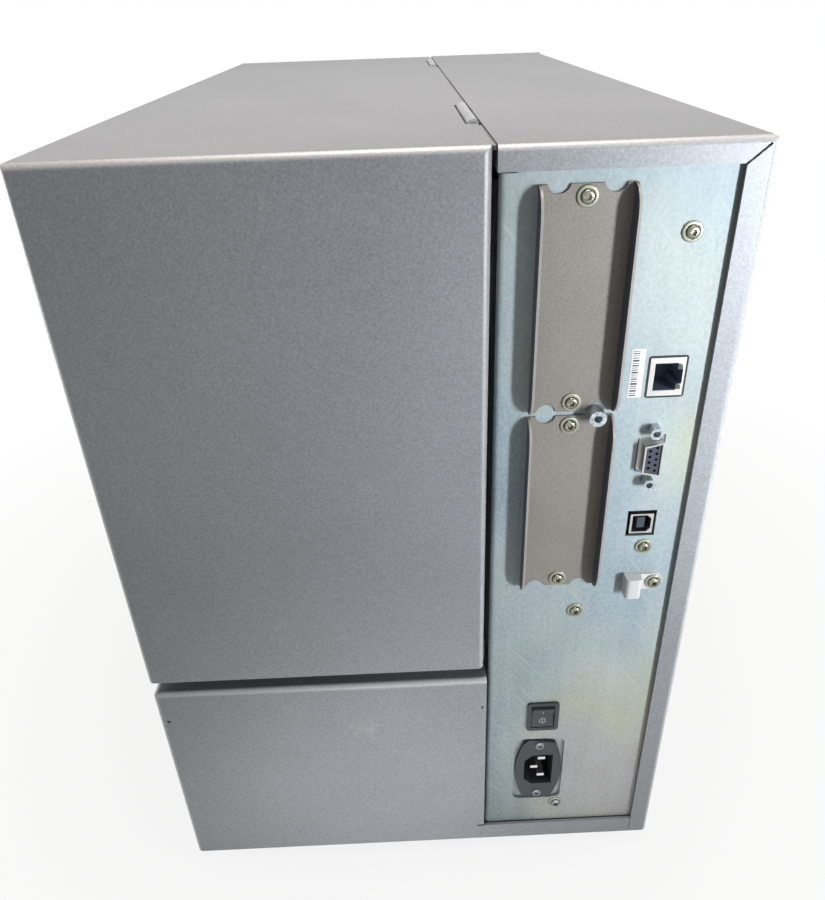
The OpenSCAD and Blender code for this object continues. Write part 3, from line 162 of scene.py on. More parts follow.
def finish(name, paint, constants):
    """A material: constants are set on its shader, and paint lays what varies over Object coordinates."""
    material = bpy.data.materials.new(name)
    material.use_nodes = True
    tree = material.node_tree
    shader = tree.nodes["Principled BSDF"]
    for socket, value in constants.items():
        shader.inputs[socket].default_value = value
    place = Wire(tree, tree.nodes.new("ShaderNodeTexCoord").outputs["Object"])
    for socket, value in paint(place).items():
        place.feed(shader, socket, value)
    return material


def dress(material, *names):
    """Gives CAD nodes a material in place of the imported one."""
    for name in names:
        nodes[name].data.materials.clear()
        nodes[name].data.materials.append(material)


def case_paint(place):
    grain = place.noise(1050, 3.0, 0.65)
    mottle = place.noise(9, 3.0)
    rub = place.noise(60, 4.0, 0.7, (1, 0.12, 1)).ramp((0.62, 0), (0.74, 1))
    patch = place.noise(7, 2.0).ramp((0.48, 0), (0.68, 1))
    nx, ny, nz = place.facing()
    # Painted highlight: the folds, found from the way the surface faces, are lightened as though they
    # caught the light.
    fold_highlight = (1 - (abs(nx) | abs(ny) | abs(nz))).ramp((0.01, 0), (0.10, 1))
    body = (grain * 0.7 + mottle * 0.3).ramp((0.30, (0.182, 0.193, 0.208, 1)),
                                             (0.70, (0.318, 0.335, 0.360, 1)))
    return {
        "Base Color": (rub * patch * 0.30 | fold_highlight * (0.25 + grain * 0.45)).mix(body, (0.56, 0.56, 0.56, 1)),
        "Roughness": 0.38 + mottle * 0.10 + grain * 0.10,
        "Normal": grain.bump(0.10, 0.0004),
    }


paint = finish("case_paint", case_paint, {"Metallic": 0.30})
dress(paint, "base_tray", "electronics_cover", "media_cover", "window_door")


# Seam strip: a painted steel lath along the top seam, welded to the flange of the electronics cover.
# It closes the gap beside the lid, with a break at each hinge.
strip_x = (-37.35, -36.05)
strip_z = (391.6, 393.4)
strip_runs = ((-243.0, -191.0), (-129.0, 129.0), (191.0, 241.0))
strip_edge = 0.3


def box(low, high):
    """A plain box between two corners in mm."""
    bpy.ops.object.select_all(action="DESELECT")
    middle = [(a + b) / 2 * mm for a, b in zip(low, high)]
    size = [(b - a) * mm for a, b in zip(low, high)]
    bpy.ops.mesh.primitive_cube_add(size=1, location=middle, scale=size)
    bpy.ops.object.transform_apply(location=True, rotation=True, scale=True)
    return bpy.context.object


def block(low, high, edge):
    """A box between two corners in mm, with its edges rounded by edge mm."""
    piece = box(low, high)
    bpy.ops.object.mode_set(mode="EDIT")
    bpy.ops.mesh.select_all(action="SELECT")
    bpy.ops.mesh.bevel(offset=edge * mm, segments=2, affect="EDGES")
    bpy.ops.object.mode_set(mode="OBJECT")
    return piece


def joined(name, pieces):
    """Meshes made into one piece with a name, smooth but for its edges."""
    bpy.ops.object.select_all(action="DESELECT")
    for piece in pieces:
        piece.select_set(True)
    bpy.context.view_layer.objects.active = pieces[0]
    if len(pieces) > 1:
        bpy.ops.object.join()
    bpy.ops.object.shade_smooth_by_angle(angle=math.radians(35))
    piece = bpy.context.object
    piece.name = name
    return piece


def fit(piece, body, material):
    """Gives a new piece its material and the body that it rides on."""
    piece.data.materials.clear()
    piece.data.materials.append(material)
    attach(piece, body)


laths = [block((strip_x[0], start, strip_z[0]), (strip_x[1], end, strip_z[1]), strip_edge)
         for start, end in strip_runs]
fit(joined("seam_strip", laths), "frame", paint)


# The connector panel: one sheet of zinc plated steel, folded along the seam side.
# Its passivation shows as broad blue, green, straw and pink tints over a fine bright grain and brush marks,
# and the tints run darker and bluer towards the seam side, partly as painted shade.
# It is painted darker and duller round the switch and the inlet, as painted shade.
tint_and_shade_middle_x = -90.0
tint_middle_z = 230.0
lower_corner_shade_side_x = -105.0
lower_corner_shade_top_z = 200.0


def zinc(place):
    x, y, z = place.axes()
    tint_and_shade = place.noise(11, 2.0, 0.5, (1, 1, 0.7))
    # Partly painted shade: the drift with x makes the seam side darker and bluer, besides the real
    # passivation tint.
    tint_and_shade = tint_and_shade - (x - tint_and_shade_middle_x * mm) * 1.6 + abs(z - tint_middle_z * mm) * 0.45
    cloud = place.noise(40, 3.0)
    grain = place.noise(620, 4.0, 0.75, (1, 1, 0.7))
    drawn = place.noise(260, 2.0, 0.5, (1, 1, 0.05))
    brushed = place.noise(420, 2.0, 0.6, (1, 1, 0.06), 38).ramp((0.56, 0), (0.72, 1))
    film = tint_and_shade.ramp((0.36, (0.19, 0.26, 0.32, 1)), (0.48, (0.25, 0.32, 0.36, 1)),
                     (0.58, (0.31, 0.37, 0.37, 1)), (0.68, (0.39, 0.41, 0.31, 1)),
                     (0.78, (0.36, 0.35, 0.35, 1)))
    # Painted shade: darker and duller towards the lower corner round the switch and the inlet.
    lower_corner_shade = ((x - lower_corner_shade_side_x * mm) * (lower_corner_shade_top_z * mm - z) * 90).ramp((0.0, 0), (1.0, 1))
    film = (lower_corner_shade * 0.9).mix(film, (0.10, 0.125, 0.125, 1))
    bright = (grain * 0.65 + drawn * 0.15 + cloud * 0.2).ramp((0.38, 0), (0.64, 1))
    shine = (bright * 0.40 | brushed * 0.34) * (1 - lower_corner_shade * 0.4)
    return {
        "Base Color": shine.mix(film, (0.58, 0.64, 0.66, 1)),
        "Roughness": 0.36 + grain * 0.16 + cloud * 0.06,
        "Normal": grain.bump(0.12, 0.0004),
    }


plating = finish("zinc_plate", zinc, {"Metallic": 0.14, "Specular IOR Level": 0.35})
dress(plating, "rear_panel")


# Panel edge: a lath of the same plated sheet along the seam side, spot-welded over the panel's fold.
# Its outer corner is rolled over, and it hides the way in beside the main frame.
edge_low = (-46.4, 240.2, 12.0)
edge_high = (-38.3, 243.62, 384.4)
edge_roll = 2.4
edge_slack = 0.001


def pick(piece, wanted):
    """Goes into edit mode with only the edges selected whose two ends are both wanted."""
    bpy.ops.object.mode_set(mode="EDIT")
    bpy.ops.mesh.select_mode(type="EDGE")
    bpy.ops.mesh.select_all(action="DESELECT")
    bpy.ops.object.mode_set(mode="OBJECT")
    for edge in piece.data.edges:
        edge.select = all(wanted(piece.data.vertices[v].co) for v in edge.vertices)
    bpy.ops.object.mode_set(mode="EDIT")


lath = box(edge_low, edge_high)
outer_x, outer_y = ((limit - edge_slack) * mm for limit in edge_high[:2])
pick(lath, lambda corner: corner.x > outer_x and corner.y > outer_y)
bpy.ops.mesh.bevel(offset=edge_roll * mm, segments=8, affect="EDGES")
bpy.ops.object.mode_set(mode="OBJECT")
fit(joined("panel_edge", [lath]), "frame", plating)


# Ground post and jack screws: turned steel under bright zinc.
# Fine turning rings round the posts part light from dark.
def bright_zinc(place):
    rings = place.noise(900, 2.0, 0.5, (1, 3, 1))
    cloud = place.noise(180, 2.0)
    return {
        "Base Color": (rings * 0.6 + cloud * 0.4).ramp((0.34, (0.16, 0.19, 0.22, 1)),
                                                       (0.66, (0.62, 0.68, 0.72, 1))),
        "Roughness": 0.24 + rings * 0.14,
        "Normal": rings.bump(0.2, 0.0004),
    }


dress(finish("bright_zinc", bright_zinc, {"Metallic": 0.75}), "ground_post", "jack_screws")


# The option slot covers: stamped steel with a dull brownish plating, screwed over the slots.
# Their wings are painted dark navy as painted shade, and their sheared edges are painted pale as a painted
# highlight.
slot_face = 244.5
edge_highlight_below = 244.45
wing_from = 244.7
wing_rim = 245.2


def slot_plate(place):
    fine = place.noise(1150, 3.0, 0.7)
    cloud = place.noise(28, 3.0)
    x, y, z = place.axes()
    nx, ny, nz = place.facing()
    # Painted shade: every side face of the wings takes a dark navy colour.
    wing_shade = (y > wing_from * mm) * (abs(nx) > 0.5)
    body = (fine * 0.7 + cloud * 0.3).ramp((0.30, (0.180, 0.166, 0.150, 1)),
                                           (0.70, (0.285, 0.268, 0.247, 1)))
    wing_shade_colour = fine.mix((0.045, 0.053, 0.075, 1), (0.085, 0.095, 0.125, 1))
    # Painted highlight: the plate's cut edges and the wings' rims are lightened.
    edge_highlight = (y < edge_highlight_below * mm) * (abs(ny) < 0.5) | (y > wing_rim * mm) * (abs(nx) < 0.5)
    return {
        "Base Color": (edge_highlight * 0.35).mix(wing_shade.mix(body, wing_shade_colour), (0.50, 0.50, 0.50, 1)),
        "Roughness": 0.36 + fine * 0.16,
        "Normal": fine.bump(0.10, 0.0004),
    }


dress(finish("slot_plate", slot_plate, {"Metallic": 0.12, "Specular IOR Level": 0.3}),
      "slot_cover_upper", "slot_cover_lower")


# Panel washers: pale zinc, dished, one under each screw of the panel, the slot covers and the clip.
# One is turned with its rim and copied to the rest.
# The two slacks are how near counts as on a face and on an axis.
panel_face = 243.5
clip_face = 245.5
washer_radius = 4.0
washer_height = 0.8
washer_rim = 0.17
washer_sink = 0.55
slot_spots = [(-69.3, z) for z in (376.0, 295.1, 284.5, 203.6)]
panel_spots = [(-108.8, 361.9), (-108.0, 219.2), (-79.3, 182.3), (-78.7, 35.5)]
washer_places = [(x, slot_face, z) for x, z in slot_spots] + [(x, panel_face, z) for x, z in panel_spots]
washer_places += [(-114.3, clip_face, 199.8)]
face_slack = 0.01
axis_slack = 0.2


def copied(piece, step):
    """A copy of a piece with its own mesh, moved by a step in mm."""
    bpy.ops.object.select_all(action="DESELECT")
    piece.select_set(True)
    bpy.context.view_layer.objects.active = piece
    bpy.ops.object.duplicate(linked=False)
    bpy.ops.transform.translate(value=[s * mm for s in step])
    bpy.ops.object.transform_apply(location=True, rotation=True, scale=True)
    return bpy.context.object


def peg(foot, axis, radius, length, edge, sides=32):
    """A round peg in mm that stands on a foot along an axis, its outer rim rounded by edge mm."""
    bpy.ops.object.select_all(action="DESELECT")
    along = Vector(axis)
    bpy.ops.mesh.primitive_cylinder_add(
        vertices=sides, radius=radius * mm, depth=length * mm,
        location=(Vector(foot) + along * length / 2) * mm,
        rotation=along.to_track_quat("Z", "Y").to_euler())
    bpy.ops.object.transform_apply(location=True, rotation=True, scale=True)
    piece = bpy.context.object
    outer = (Vector(foot) + along * length) * mm
    pick(piece, lambda corner: abs((corner - outer).dot(along)) < face_slack * mm)
    bpy.ops.mesh.bevel(offset=edge * mm, segments=3, affect="EDGES")
    bpy.ops.object.mode_set(mode="OBJECT")
    return piece


def pick_face(piece, foot, axis):
    """Goes into edit mode with only the outermost face over a foot selected."""
    bpy.ops.object.mode_set(mode="EDIT")
    bpy.ops.mesh.select_mode(type="FACE")
    bpy.ops.mesh.select_all(action="DESELECT")
    bpy.ops.object.mode_set(mode="OBJECT")
    along = Vector(axis)
    start = Vector(foot) * mm
    over = [face for face in piece.data.polygons
            if (face.center - start).cross(along).length < axis_slack * mm]
    max(over, key=lambda face: face.center.dot(along)).select = True
    bpy.ops.object.mode_set(mode="EDIT")


def socket_head(foot, axis, radius, height, rim=0.38, sink=0.55, edge=0.12):
    """A round head in mm whose outer face is sunk inside a rim.
    Rim and rounded edge are shares of its radius, and the sink is a share of its height."""
    head = peg(foot, axis, radius, height, radius * edge)
    pick_face(head, foot, axis)
    bpy.ops.mesh.inset(thickness=radius * rim * mm)
    bpy.ops.mesh.extrude_region_move(TRANSFORM_OT_translate={"value": Vector(axis) * -sink * height * mm})
    bpy.ops.object.mode_set(mode="OBJECT")
    return head


def pale_zinc(place):
    fine = place.noise(1500, 2.0)
    cloud = place.noise(200, 2.0)
    return {
        "Base Color": (fine * 0.5 + cloud * 0.5).mix((0.20, 0.21, 0.16, 1), (0.40, 0.42, 0.34, 1)),
        "Roughness": 0.30 + fine * 0.16,
    }


def spread(piece, places):
    """A piece that was made at the first of some places in mm, and a copy of it at each of the others."""
    steps = [[b - a for a, b in zip(places[0], place)] for place in places[1:]]
    return [piece] + [copied(piece, step) for step in steps]


washer = socket_head(washer_places[0], (0, 1, 0), washer_radius, washer_height, washer_rim, washer_sink)
fit(joined("panel_washers", spread(washer, washer_places)), "frame",
    finish("pale_zinc", pale_zinc, {"Metallic": 0.4}))


# Panel screws: steel with yellow passivated zinc, low domed heads with a six-lobed recess.
# The low one and the two flatter ones in the inlet's flange are plain zinc.
# They stand for the plain screws of the solid model, in the same holes.
screw_radius = 2.6
screw_height = 1.7
shank_radius = 1.75
shank_length = 6.0
shank_point = 0.5
dome_share = 0.6
recess_radius = 1.5
recess_waist = 0.70
recess_share = 0.7
lobes = 6
rim_slack = 0.05
seat_share = 0.4
inlet_places = [(-67.2, 243.9, z) for z in (85.3, 45.3)]
inlet_height = 0.9
plain_top_z = 92.0
plain_side_x = -90.0


def lobed_screw(seat, height):
    """A screw in mm that faces +Y: domed head, six-lobed recess and a pointed shank."""
    head = peg(seat, (0, 1, 0), screw_radius, height, height * dome_share, sides=24)
    flat_radius = screw_radius - height * dome_share
    pick_face(head, seat, (0, 1, 0))
    bpy.ops.mesh.inset(thickness=(flat_radius - recess_radius) * mm)
    bpy.ops.object.mode_set(mode="OBJECT")
    centre = Vector(seat) * mm
    top = max(corner.co.y for corner in head.data.vertices)
    for corner in head.data.vertices:
        out = corner.co - centre
        on_top = corner.co.y > top - edge_slack * mm
        in_rim = math.hypot(out.x, out.z) < (flat_radius - rim_slack) * mm
        corner.select = on_top and in_rim and math.cos(lobes * math.atan2(out.z, out.x)) < 0.1
    for edge in head.data.edges:
        edge.select = False
    for face in head.data.polygons:
        face.select = False
    bpy.ops.object.mode_set(mode="EDIT")
    bpy.ops.mesh.select_mode(type="VERT")
    bpy.ops.transform.resize(value=(recess_waist, 1, recess_waist), center_override=centre)
    bpy.ops.object.mode_set(mode="OBJECT")
    pick_face(head, seat, (0, 1, 0))
    bpy.ops.mesh.extrude_region_move(TRANSFORM_OT_translate={"value": (0, -height * recess_share * mm, 0)})
    bpy.ops.object.mode_set(mode="OBJECT")
    shank = peg(seat, (0, -1, 0), shank_radius, shank_length, shank_point, sides=20)
    return joined("screw", [head, shank])


def yellow_zinc(place):
    cloud = place.noise(330, 2.0)
    fine = place.noise(2200, 2.0)
    x, y, z = place.axes()
    plain = (z < plain_top_z * mm) * (x > plain_side_x * mm)
    yellow = (cloud * 0.7 + fine * 0.3).mix((0.07, 0.07, 0.05, 1), (0.46, 0.46, 0.38, 1))
    return {
        "Base Color": plain.mix(yellow, fine.mix((0.12, 0.13, 0.14, 1), (0.36, 0.38, 0.40, 1))),
        "Roughness": 0.20 + fine * 0.14,
    }


screw_places = [(x, y + washer_height * seat_share, z) for x, y, z in washer_places]
screws = spread(lobed_screw(screw_places[0], screw_height), screw_places)
screws += spread(lobed_screw(inlet_places[0], inlet_height), inlet_places)
screws = joined("panel_screw_set", screws)
fit(screws, "frame", finish("yellow_zinc", yellow_zinc, {"Metallic": 1.0}))
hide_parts("panel_screws")


# Sockets on the panel and on the front: drawn shells of tin plated sheet round moulded inserts.
# The inserts are the inside faces of each mouth, and the face of the serial port with its contact holes.
# They are near black, and navy in the network socket, which is the first of the boxes.
insert_boxes = [
    ((-113.5, 200.0, 298.2), (-101.9, 243.6, 310.2)),
    ((-109.8, 200.0, 227.6), (-101.2, 241.4, 236.6)),
    ((-107.3, 200.0, 229.2), (-103.7, 243.3, 235.0)),
    ((-108.25, 247.6, 260.45), (-101.55, 248.2, 275.55)),
    ((-107.05, 244.0, 261.7), (-102.75, 248.2, 274.3)),
    ((-102.95, -251.0, 226.55), (-90.45, -240.0, 231.85)),
    ((-80.95, -251.0, 226.55), (-68.45, -240.0, 231.85)),
]


def within(place, low, high):
    """1 inside a box between two corners in mm, 0 outside it."""
    inside = 1.0
    for axis, a, b in zip(place.axes(), low, high):
        inside = (axis > a * mm) * (axis < b * mm) * inside
    return inside


def socket_shell(place):
    cloud = place.noise(120, 3.0)
    fine = place.noise(1800, 2.0)
    insert = 0.0
    for low, high in insert_boxes:
        insert = within(place, low, high) | insert
    tin = (cloud * 0.5 + fine * 0.5).mix((0.36, 0.36, 0.35, 1), (0.70, 0.70, 0.68, 1))
    moulding = fine.mix((0.014, 0.019, 0.030, 1), (0.040, 0.052, 0.076, 1))
    navy = fine.mix((0.08, 0.12, 0.20, 1), (0.13, 0.18, 0.27, 1))
    moulding = within(place, *insert_boxes[0]).mix(moulding, navy)
    return {
        "Base Color": insert.mix(tin, moulding),
        "Metallic": 1 - insert,
        "Roughness": 0.26 + fine * 0.14 + insert * 0.16,
    }


dress(finish("socket_shell", socket_shell, {}),
      "network_socket", "serial_port", "data_socket", "host_sockets")


# Network contacts: eight gold plated spring wires on the board side of the network socket's mouth.
# One is modelled as a flat wire with rounded edges and copied along the row.
contact_count = 8
contact_pitch = 1.02
contact_low = (-102.9, 230.6, 300.4)
contact_high = (-102.6, 241.5, 300.85)
contact_edge = 0.08


def speckle(scale, dark, pale, roughness, spread, texture=0.0):
    """A paint for small parts: one fine speckle goes from dark to pale and makes the gloss uneven.
    Texture is the strength of its bump."""
    def lay(place):
        fine = place.noise(scale)
        laid = {"Base Color": fine.mix((*dark, 1), (*pale, 1)), "Roughness": roughness + fine * spread}
        if texture:
            laid["Normal"] = fine.bump(texture, 0.0004)
        return laid

    return lay


gold = speckle(1500, (0.60, 0.40, 0.12), (0.84, 0.62, 0.26), 0.22, 0.12)
wire = block(contact_low, contact_high, contact_edge)
wires = [wire] + [copied(wire, (0, 0, i * contact_pitch)) for i in range(1, contact_count)]
fit(joined("network_contacts", wires), "frame", finish("contact_gold", gold, {"Metallic": 1.0}))


# Network lights: two small windows in the socket's face, one each side of the catch.
# They are smoky, unlit plastic, pressed in from behind.
light_size = (2.1, 0.35, 2.5)
light_lows = [(-113.2, 243.6, z) for z in (298.6, 307.3)]
light_edge = 0.15

light_window = speckle(700, (0.045, 0.055, 0.05), (0.10, 0.12, 0.10), 0.16, 0.10)
windows = [block(low, [a + b for a, b in zip(low, light_size)], light_edge) for low in light_lows]
fit(joined("network_lights", windows), "frame", finish("light_window", light_window, {}))


# Network shadow ring: a thin black ring on the panel round the socket's shell, a dark sheet that stands for
# the shadow in the gap between them.
# It is a rounded sheet, cut down to its rim and thickened.
shadow_ring_middle = (-107.1, 243.62, 304.2)
shadow_ring_size = (16.0, 18.4)
shadow_ring_corner = 1.3
shadow_ring_width = 0.85
shadow_ring_depth = 0.2


def rimmed(piece, width, depth):
    """A flat sheet cut down to a rim of some width and thickened backwards, both in mm."""
    bpy.ops.object.mode_set(mode="EDIT")
    bpy.ops.mesh.select_all(action="SELECT")
    bpy.ops.mesh.inset(thickness=width * mm)
    bpy.ops.mesh.delete(type="FACE")
    bpy.ops.object.mode_set(mode="OBJECT")
    thick = piece.modifiers.new("thickness", "SOLIDIFY")
    thick.thickness = depth * mm
    thick.offset = -1.0
    bpy.ops.object.modifier_apply(modifier=thick.name)
    return piece


def hoop(middle, tip_deg, size, corner, width, depth):
    """A flat rounded frame in mm, its outer face at middle and tipped from up to its own direction."""
    bpy.ops.object.select_all(action="DESELECT")
    bpy.ops.mesh.primitive_plane_add(size=1, location=[m * mm for m in middle],
                                     rotation=[math.radians(t) for t in tip_deg])
    piece = bpy.context.object
    piece.scale = (size[0] * mm, size[1] * mm, 1)
    bpy.ops.object.transform_apply(location=True, rotation=True, scale=True)
    bpy.ops.object.mode_set(mode="EDIT")
    bpy.ops.mesh.select_all(action="SELECT")
    bpy.ops.mesh.bevel(offset=corner * mm, segments=8, affect="VERTICES")
    bpy.ops.object.mode_set(mode="OBJECT")
    return rimmed(piece, width, depth)


shadow_ring_black = speckle(1600, (0.012, 0.013, 0.015), (0.035, 0.036, 0.040), 0.70, 0.2)
shadow_ring = hoop(shadow_ring_middle, (-90, 0, 0), shadow_ring_size, shadow_ring_corner, shadow_ring_width, shadow_ring_depth)
fit(joined("network_shadow_ring", [shadow_ring]), "frame", finish("shadow_ring_black", shadow_ring_black, {}))


# Port label: a strip of white paper, stuck by the network socket.
# One column of plain bars is printed on its outer face.
label_low = (-97.6, 243.46, 295.4)
label_high = (-92.2, 243.58, 316.6)
label_edge = 0.04
ink_depth = 0.05
bar_x = (-95.4, -92.8)
bar_start = 296.2
bar_widths = (0.5, 0.3, 0.7, 0.3, 0.4, 0.8, 0.3, 0.5, 0.3, 0.3,
              0.7, 0.4, 0.3, 0.6, 0.3, 0.8, 0.4, 0.3, 0.5, 0.3)
bar_gap = 0.56


def label_paper(place):
    x, y, z = place.axes()
    fine = place.noise(900, 2.0)
    bars = 0.0
    foot = bar_start
    for width in bar_widths:
        bars = (z > foot * mm) * (z < (foot + width) * mm) | bars
        foot += width + bar_gap
    bars = bars * (x > bar_x[0] * mm) * (x < bar_x[1] * mm) * (y > (label_high[1] - ink_depth) * mm)
    paper = fine.mix((0.66, 0.66, 0.64, 1), (0.78, 0.78, 0.76, 1))
    return {
        "Base Color": bars.mix(paper, (0.03, 0.03, 0.035, 1)),
        "Roughness": 0.50 + fine * 0.12,
    }


fit(joined("port_label", [block(label_low, label_high, label_edge)]), "frame",
    finish("label_paper", label_paper, {}))


# Power switch, inlet and print head: black moulded plastic.
# The mould leaves a fine spark-eroded texture on it.
def black_moulding(place):
    fine = place.noise(1100, 2.0, 0.6)
    cloud = place.noise(60, 2.0)
    return {
        "Base Color": (fine * 0.5 + cloud * 0.5).mix((0.011, 0.013, 0.018, 1), (0.034, 0.039, 0.050, 1)),
        "Roughness": 0.36 + fine * 0.16,
        "Normal": fine.bump(0.12, 0.0004),
    }


black = finish("black_moulding", black_moulding, {})
dress(black, "switch_housing", "power_rocker", "power_inlet", "print_head")


# Switch marks: a dash on the rocker's upper half and a ring with a dash on its lower half.
# Each is printed white on a slanted face, so it is laid flat and then turned with the face and the rocker.
rocker_pivot = (-67.6, 242.0, 109.0)
rocker_tilt = 6.0
rocker_middle = 1.6
rocker_fall = 1.8
rocker_reach = 7.3
mark_depth = 0.06
dash_width = 0.48
dash_edge = 0.02
upper_mark = 3.6
upper_length = 2.9
lower_mark = -3.4
lower_length = 1.6
ring_radius = 1.75
ring_width = 0.42

rocker_slant = math.degrees(math.atan2(rocker_fall, rocker_reach))
face_y = rocker_pivot[1] + rocker_middle
edge_line = (rocker_pivot[0], face_y, rocker_pivot[2])


def turned(piece, degrees, centre):
    """A piece turned about the X axis through a point in mm."""
    bpy.ops.object.select_all(action="DESELECT")
    piece.select_set(True)
    bpy.context.view_layer.objects.active = piece
    bpy.ops.transform.rotate(value=math.radians(degrees), orient_axis="X", orient_type="GLOBAL",
                             center_override=[c * mm for c in centre])
    bpy.ops.object.transform_apply(location=True, rotation=True, scale=True)
    return piece


def ring(centre, radius, width, depth):
    """A flat ring in mm that faces +Y, its outer face at centre."""
    bpy.ops.object.select_all(action="DESELECT")
    bpy.ops.mesh.primitive_circle_add(vertices=40, radius=radius * mm, fill_type="NGON",
                                      location=[c * mm for c in centre], rotation=(math.radians(-90), 0, 0))
    bpy.ops.object.transform_apply(location=True, rotation=True, scale=True)
    return rimmed(bpy.context.object, width, depth)


def dash(up, length):
    """An upright dash in mm whose middle is some way up from the rocker's pivot."""
    x, z = rocker_pivot[0], rocker_pivot[2] + up
    return block((x - dash_width / 2, face_y - mark_depth / 2, z - length / 2),
                 (x + dash_width / 2, face_y + mark_depth / 2, z + length / 2), dash_edge)


mark_ink = speckle(1500, (0.26, 0.27, 0.28), (0.36, 0.37, 0.38), 0.45, 0.15)
ring_middle = (rocker_pivot[0], face_y + mark_depth / 2, rocker_pivot[2] + lower_mark)
upper = [dash(upper_mark, upper_length)]
lower = [dash(lower_mark, lower_length), ring(ring_middle, ring_radius, ring_width, mark_depth)]
for group, slant in ((upper, rocker_slant), (lower, -rocker_slant)):
    for piece in group:
        turned(piece, slant, edge_line)
        turned(piece, rocker_tilt, rocker_pivot)
fit(joined("switch_marks", upper + lower), "rocker", finish("mark_ink", mark_ink, {}))


# Inlet pins, board standoffs and bearings: stamped and turned brass.
# The pins have bright nickel over it.
def brass(place):
    turned_marks = place.noise(900, 2.0, 0.5, (6, 1, 1))
    return {
        "Base Color": turned_marks.mix((0.50, 0.36, 0.14, 1), (0.74, 0.58, 0.28, 1)),
        "Roughness": 0.26 + turned_marks * 0.16,
    }


nickel = speckle(1800, (0.66, 0.65, 0.61), (0.88, 0.87, 0.83), 0.18, 0.12)
dress(finish("nickel", nickel, {"Metallic": 1.0}), "inlet_pins")
dress(finish("turned_brass", brass, {"Metallic": 1.0}), "board_standoffs", "roller_bearings")


# Cable clip, roll guide and label guide: moulded from milky nylon.
# A soft cloud in the colour stands for the light that goes into it.
def milky_nylon(place):
    cloud = place.noise(70, 2.0)
    fine = place.noise(1200, 2.0)
    return {
        "Base Color": (cloud * 0.6 + fine * 0.4).mix((0.46, 0.47, 0.48, 1), (0.60, 0.61, 0.62, 1)),
        "Roughness": 0.30 + fine * 0.14,
    }


dress(finish("milky_nylon", milky_nylon, {}), "cable_clip", "media_guide", "edge_guide")


# Main frame and mechanism side plate: cast and machined metal.
# A dark grey coat with a fine grain covers both.
def dark_coat(place):
    cloud = place.noise(22, 3.0)
    fine = place.noise(900, 3.0, 0.6)
    return {
        "Base Color": (cloud * 0.4 + fine * 0.6).ramp((0.32, (0.045, 0.050, 0.056, 1)),
                                                      (0.68, (0.115, 0.122, 0.130, 1))),
        "Roughness": 0.44 + fine * 0.14,
        "Normal": fine.bump(0.12, 0.0004),
    }


dress(finish("dark_coat", dark_coat, {"Metallic": 0.15}), "main_frame", "mech_side_plate")


# Brackets, hinges, dancer arm and the power supply's cage: zinc plated sheet.
# It is duller than the panel, with a faint roll grain.
def plated_steel(place):
    cloud = place.noise(22, 3.0)
    fine = place.noise(1000, 3.0, 0.6)
    return {
        "Base Color": (cloud * 0.5 + fine * 0.5).mix((0.30, 0.31, 0.32, 1), (0.56, 0.57, 0.57, 1)),
        "Roughness": 0.34 + fine * 0.16,
        "Normal": fine.bump(0.06, 0.0004),
    }


dress(finish("plated_steel", plated_steel, {"Metallic": 1.0}), "power_supply", "hinge_fixed_leaves",
      "hinge_moving_leaves", "hinge_pins", "motor_bracket", "dancer_arm")


# Shafts, rods and the tear bar: ground steel.
# The wheel leaves fine marks round the axis.
def ground_steel(place):
    turned_marks = place.noise(1400, 2.0, 0.5, (8, 1, 1))
    return {
        "Base Color": turned_marks.mix((0.50, 0.51, 0.52, 1), (0.74, 0.75, 0.76, 1)),
        "Roughness": 0.16 + turned_marks * 0.16,
    }


bright_steel = finish("ground_steel", ground_steel, {"Metallic": 1.0})
dress(bright_steel, "tear_bar", "platen_shaft", "head_pivot_shaft", "latch_shaft", "motor_shaft",
      "guide_rod")


# Mechanism screws: socket heads that hold the side plate to its spacers, turned, drilled and plated.
# One head is modelled and copied to its places on the plate's outer face.
plate_face = 92.4
head_radius = 4.2
head_height = 3.4
head_spots = [(-222, 36), (-104, 36), (-222, 104), (-104, 104), (-104, 172)]
head_places = [(plate_face, y, z) for y, z in head_spots]

head = socket_head(head_places[0], (1, 0, 0), head_radius, head_height)
fit(joined("mechanism_screws", spread(head, head_places)), "frame", bright_steel)


# Media platform, head carrier, heat sink and dancer roller: milled and extruded aluminium.
# Its drawn marks run across the machine.
def aluminium(place):
    drawn = place.noise(700, 3.0, 0.6, (0.1, 1, 1))
    fine = place.noise(1600, 2.0)
    return {
        "Base Color": (drawn * 0.6 + fine * 0.4).mix((0.48, 0.49, 0.50, 1), (0.70, 0.71, 0.72, 1)),
        "Roughness": 0.30 + drawn * 0.16,
    }


dress(finish("milled_aluminium", aluminium, {"Metallic": 1.0}),
      "media_platform", "head_carrier", "heat_sink", "dancer_roller")


# Front bezel, spindles and hanger: charcoal moulded plastic.
# The mould gives it a soft texture.
def charcoal_moulding(place):
    fine = place.noise(1000, 2.0, 0.6)
    cloud = place.noise(30, 2.0)
    return {
        "Base Color": (fine * 0.5 + cloud * 0.5).mix((0.045, 0.048, 0.052, 1), (0.085, 0.089, 0.095, 1)),
        "Roughness": 0.46 + fine * 0.14,
        "Normal": fine.bump(0.14, 0.0004),
    }


dress(finish("charcoal_moulding", charcoal_moulding, {}),
      "front_bezel", "supply_spindle", "takeup_spindle", "media_hanger")


# Display module: a black frame round a dark grey-green liquid crystal face.
# The face is the part of the module inside the box below.
display_low = (-114.7, -260.0, 295.2)
display_high = (-56.7, -240.0, 335.2)


def display_face(place):
    fine = place.noise(1200, 2.0)
    cells = within(place, display_low, display_high)
    frame_black = fine.mix((0.010, 0.010, 0.012, 1), (0.026, 0.026, 0.030, 1))
    crystal = place.noise(14, 2.0).mix((0.16, 0.20, 0.17, 1), (0.22, 0.26, 0.22, 1))
    return {
        "Base Color": cells.mix(frame_black, crystal),
        "Roughness": 0.30 + fine * 0.12,
    }


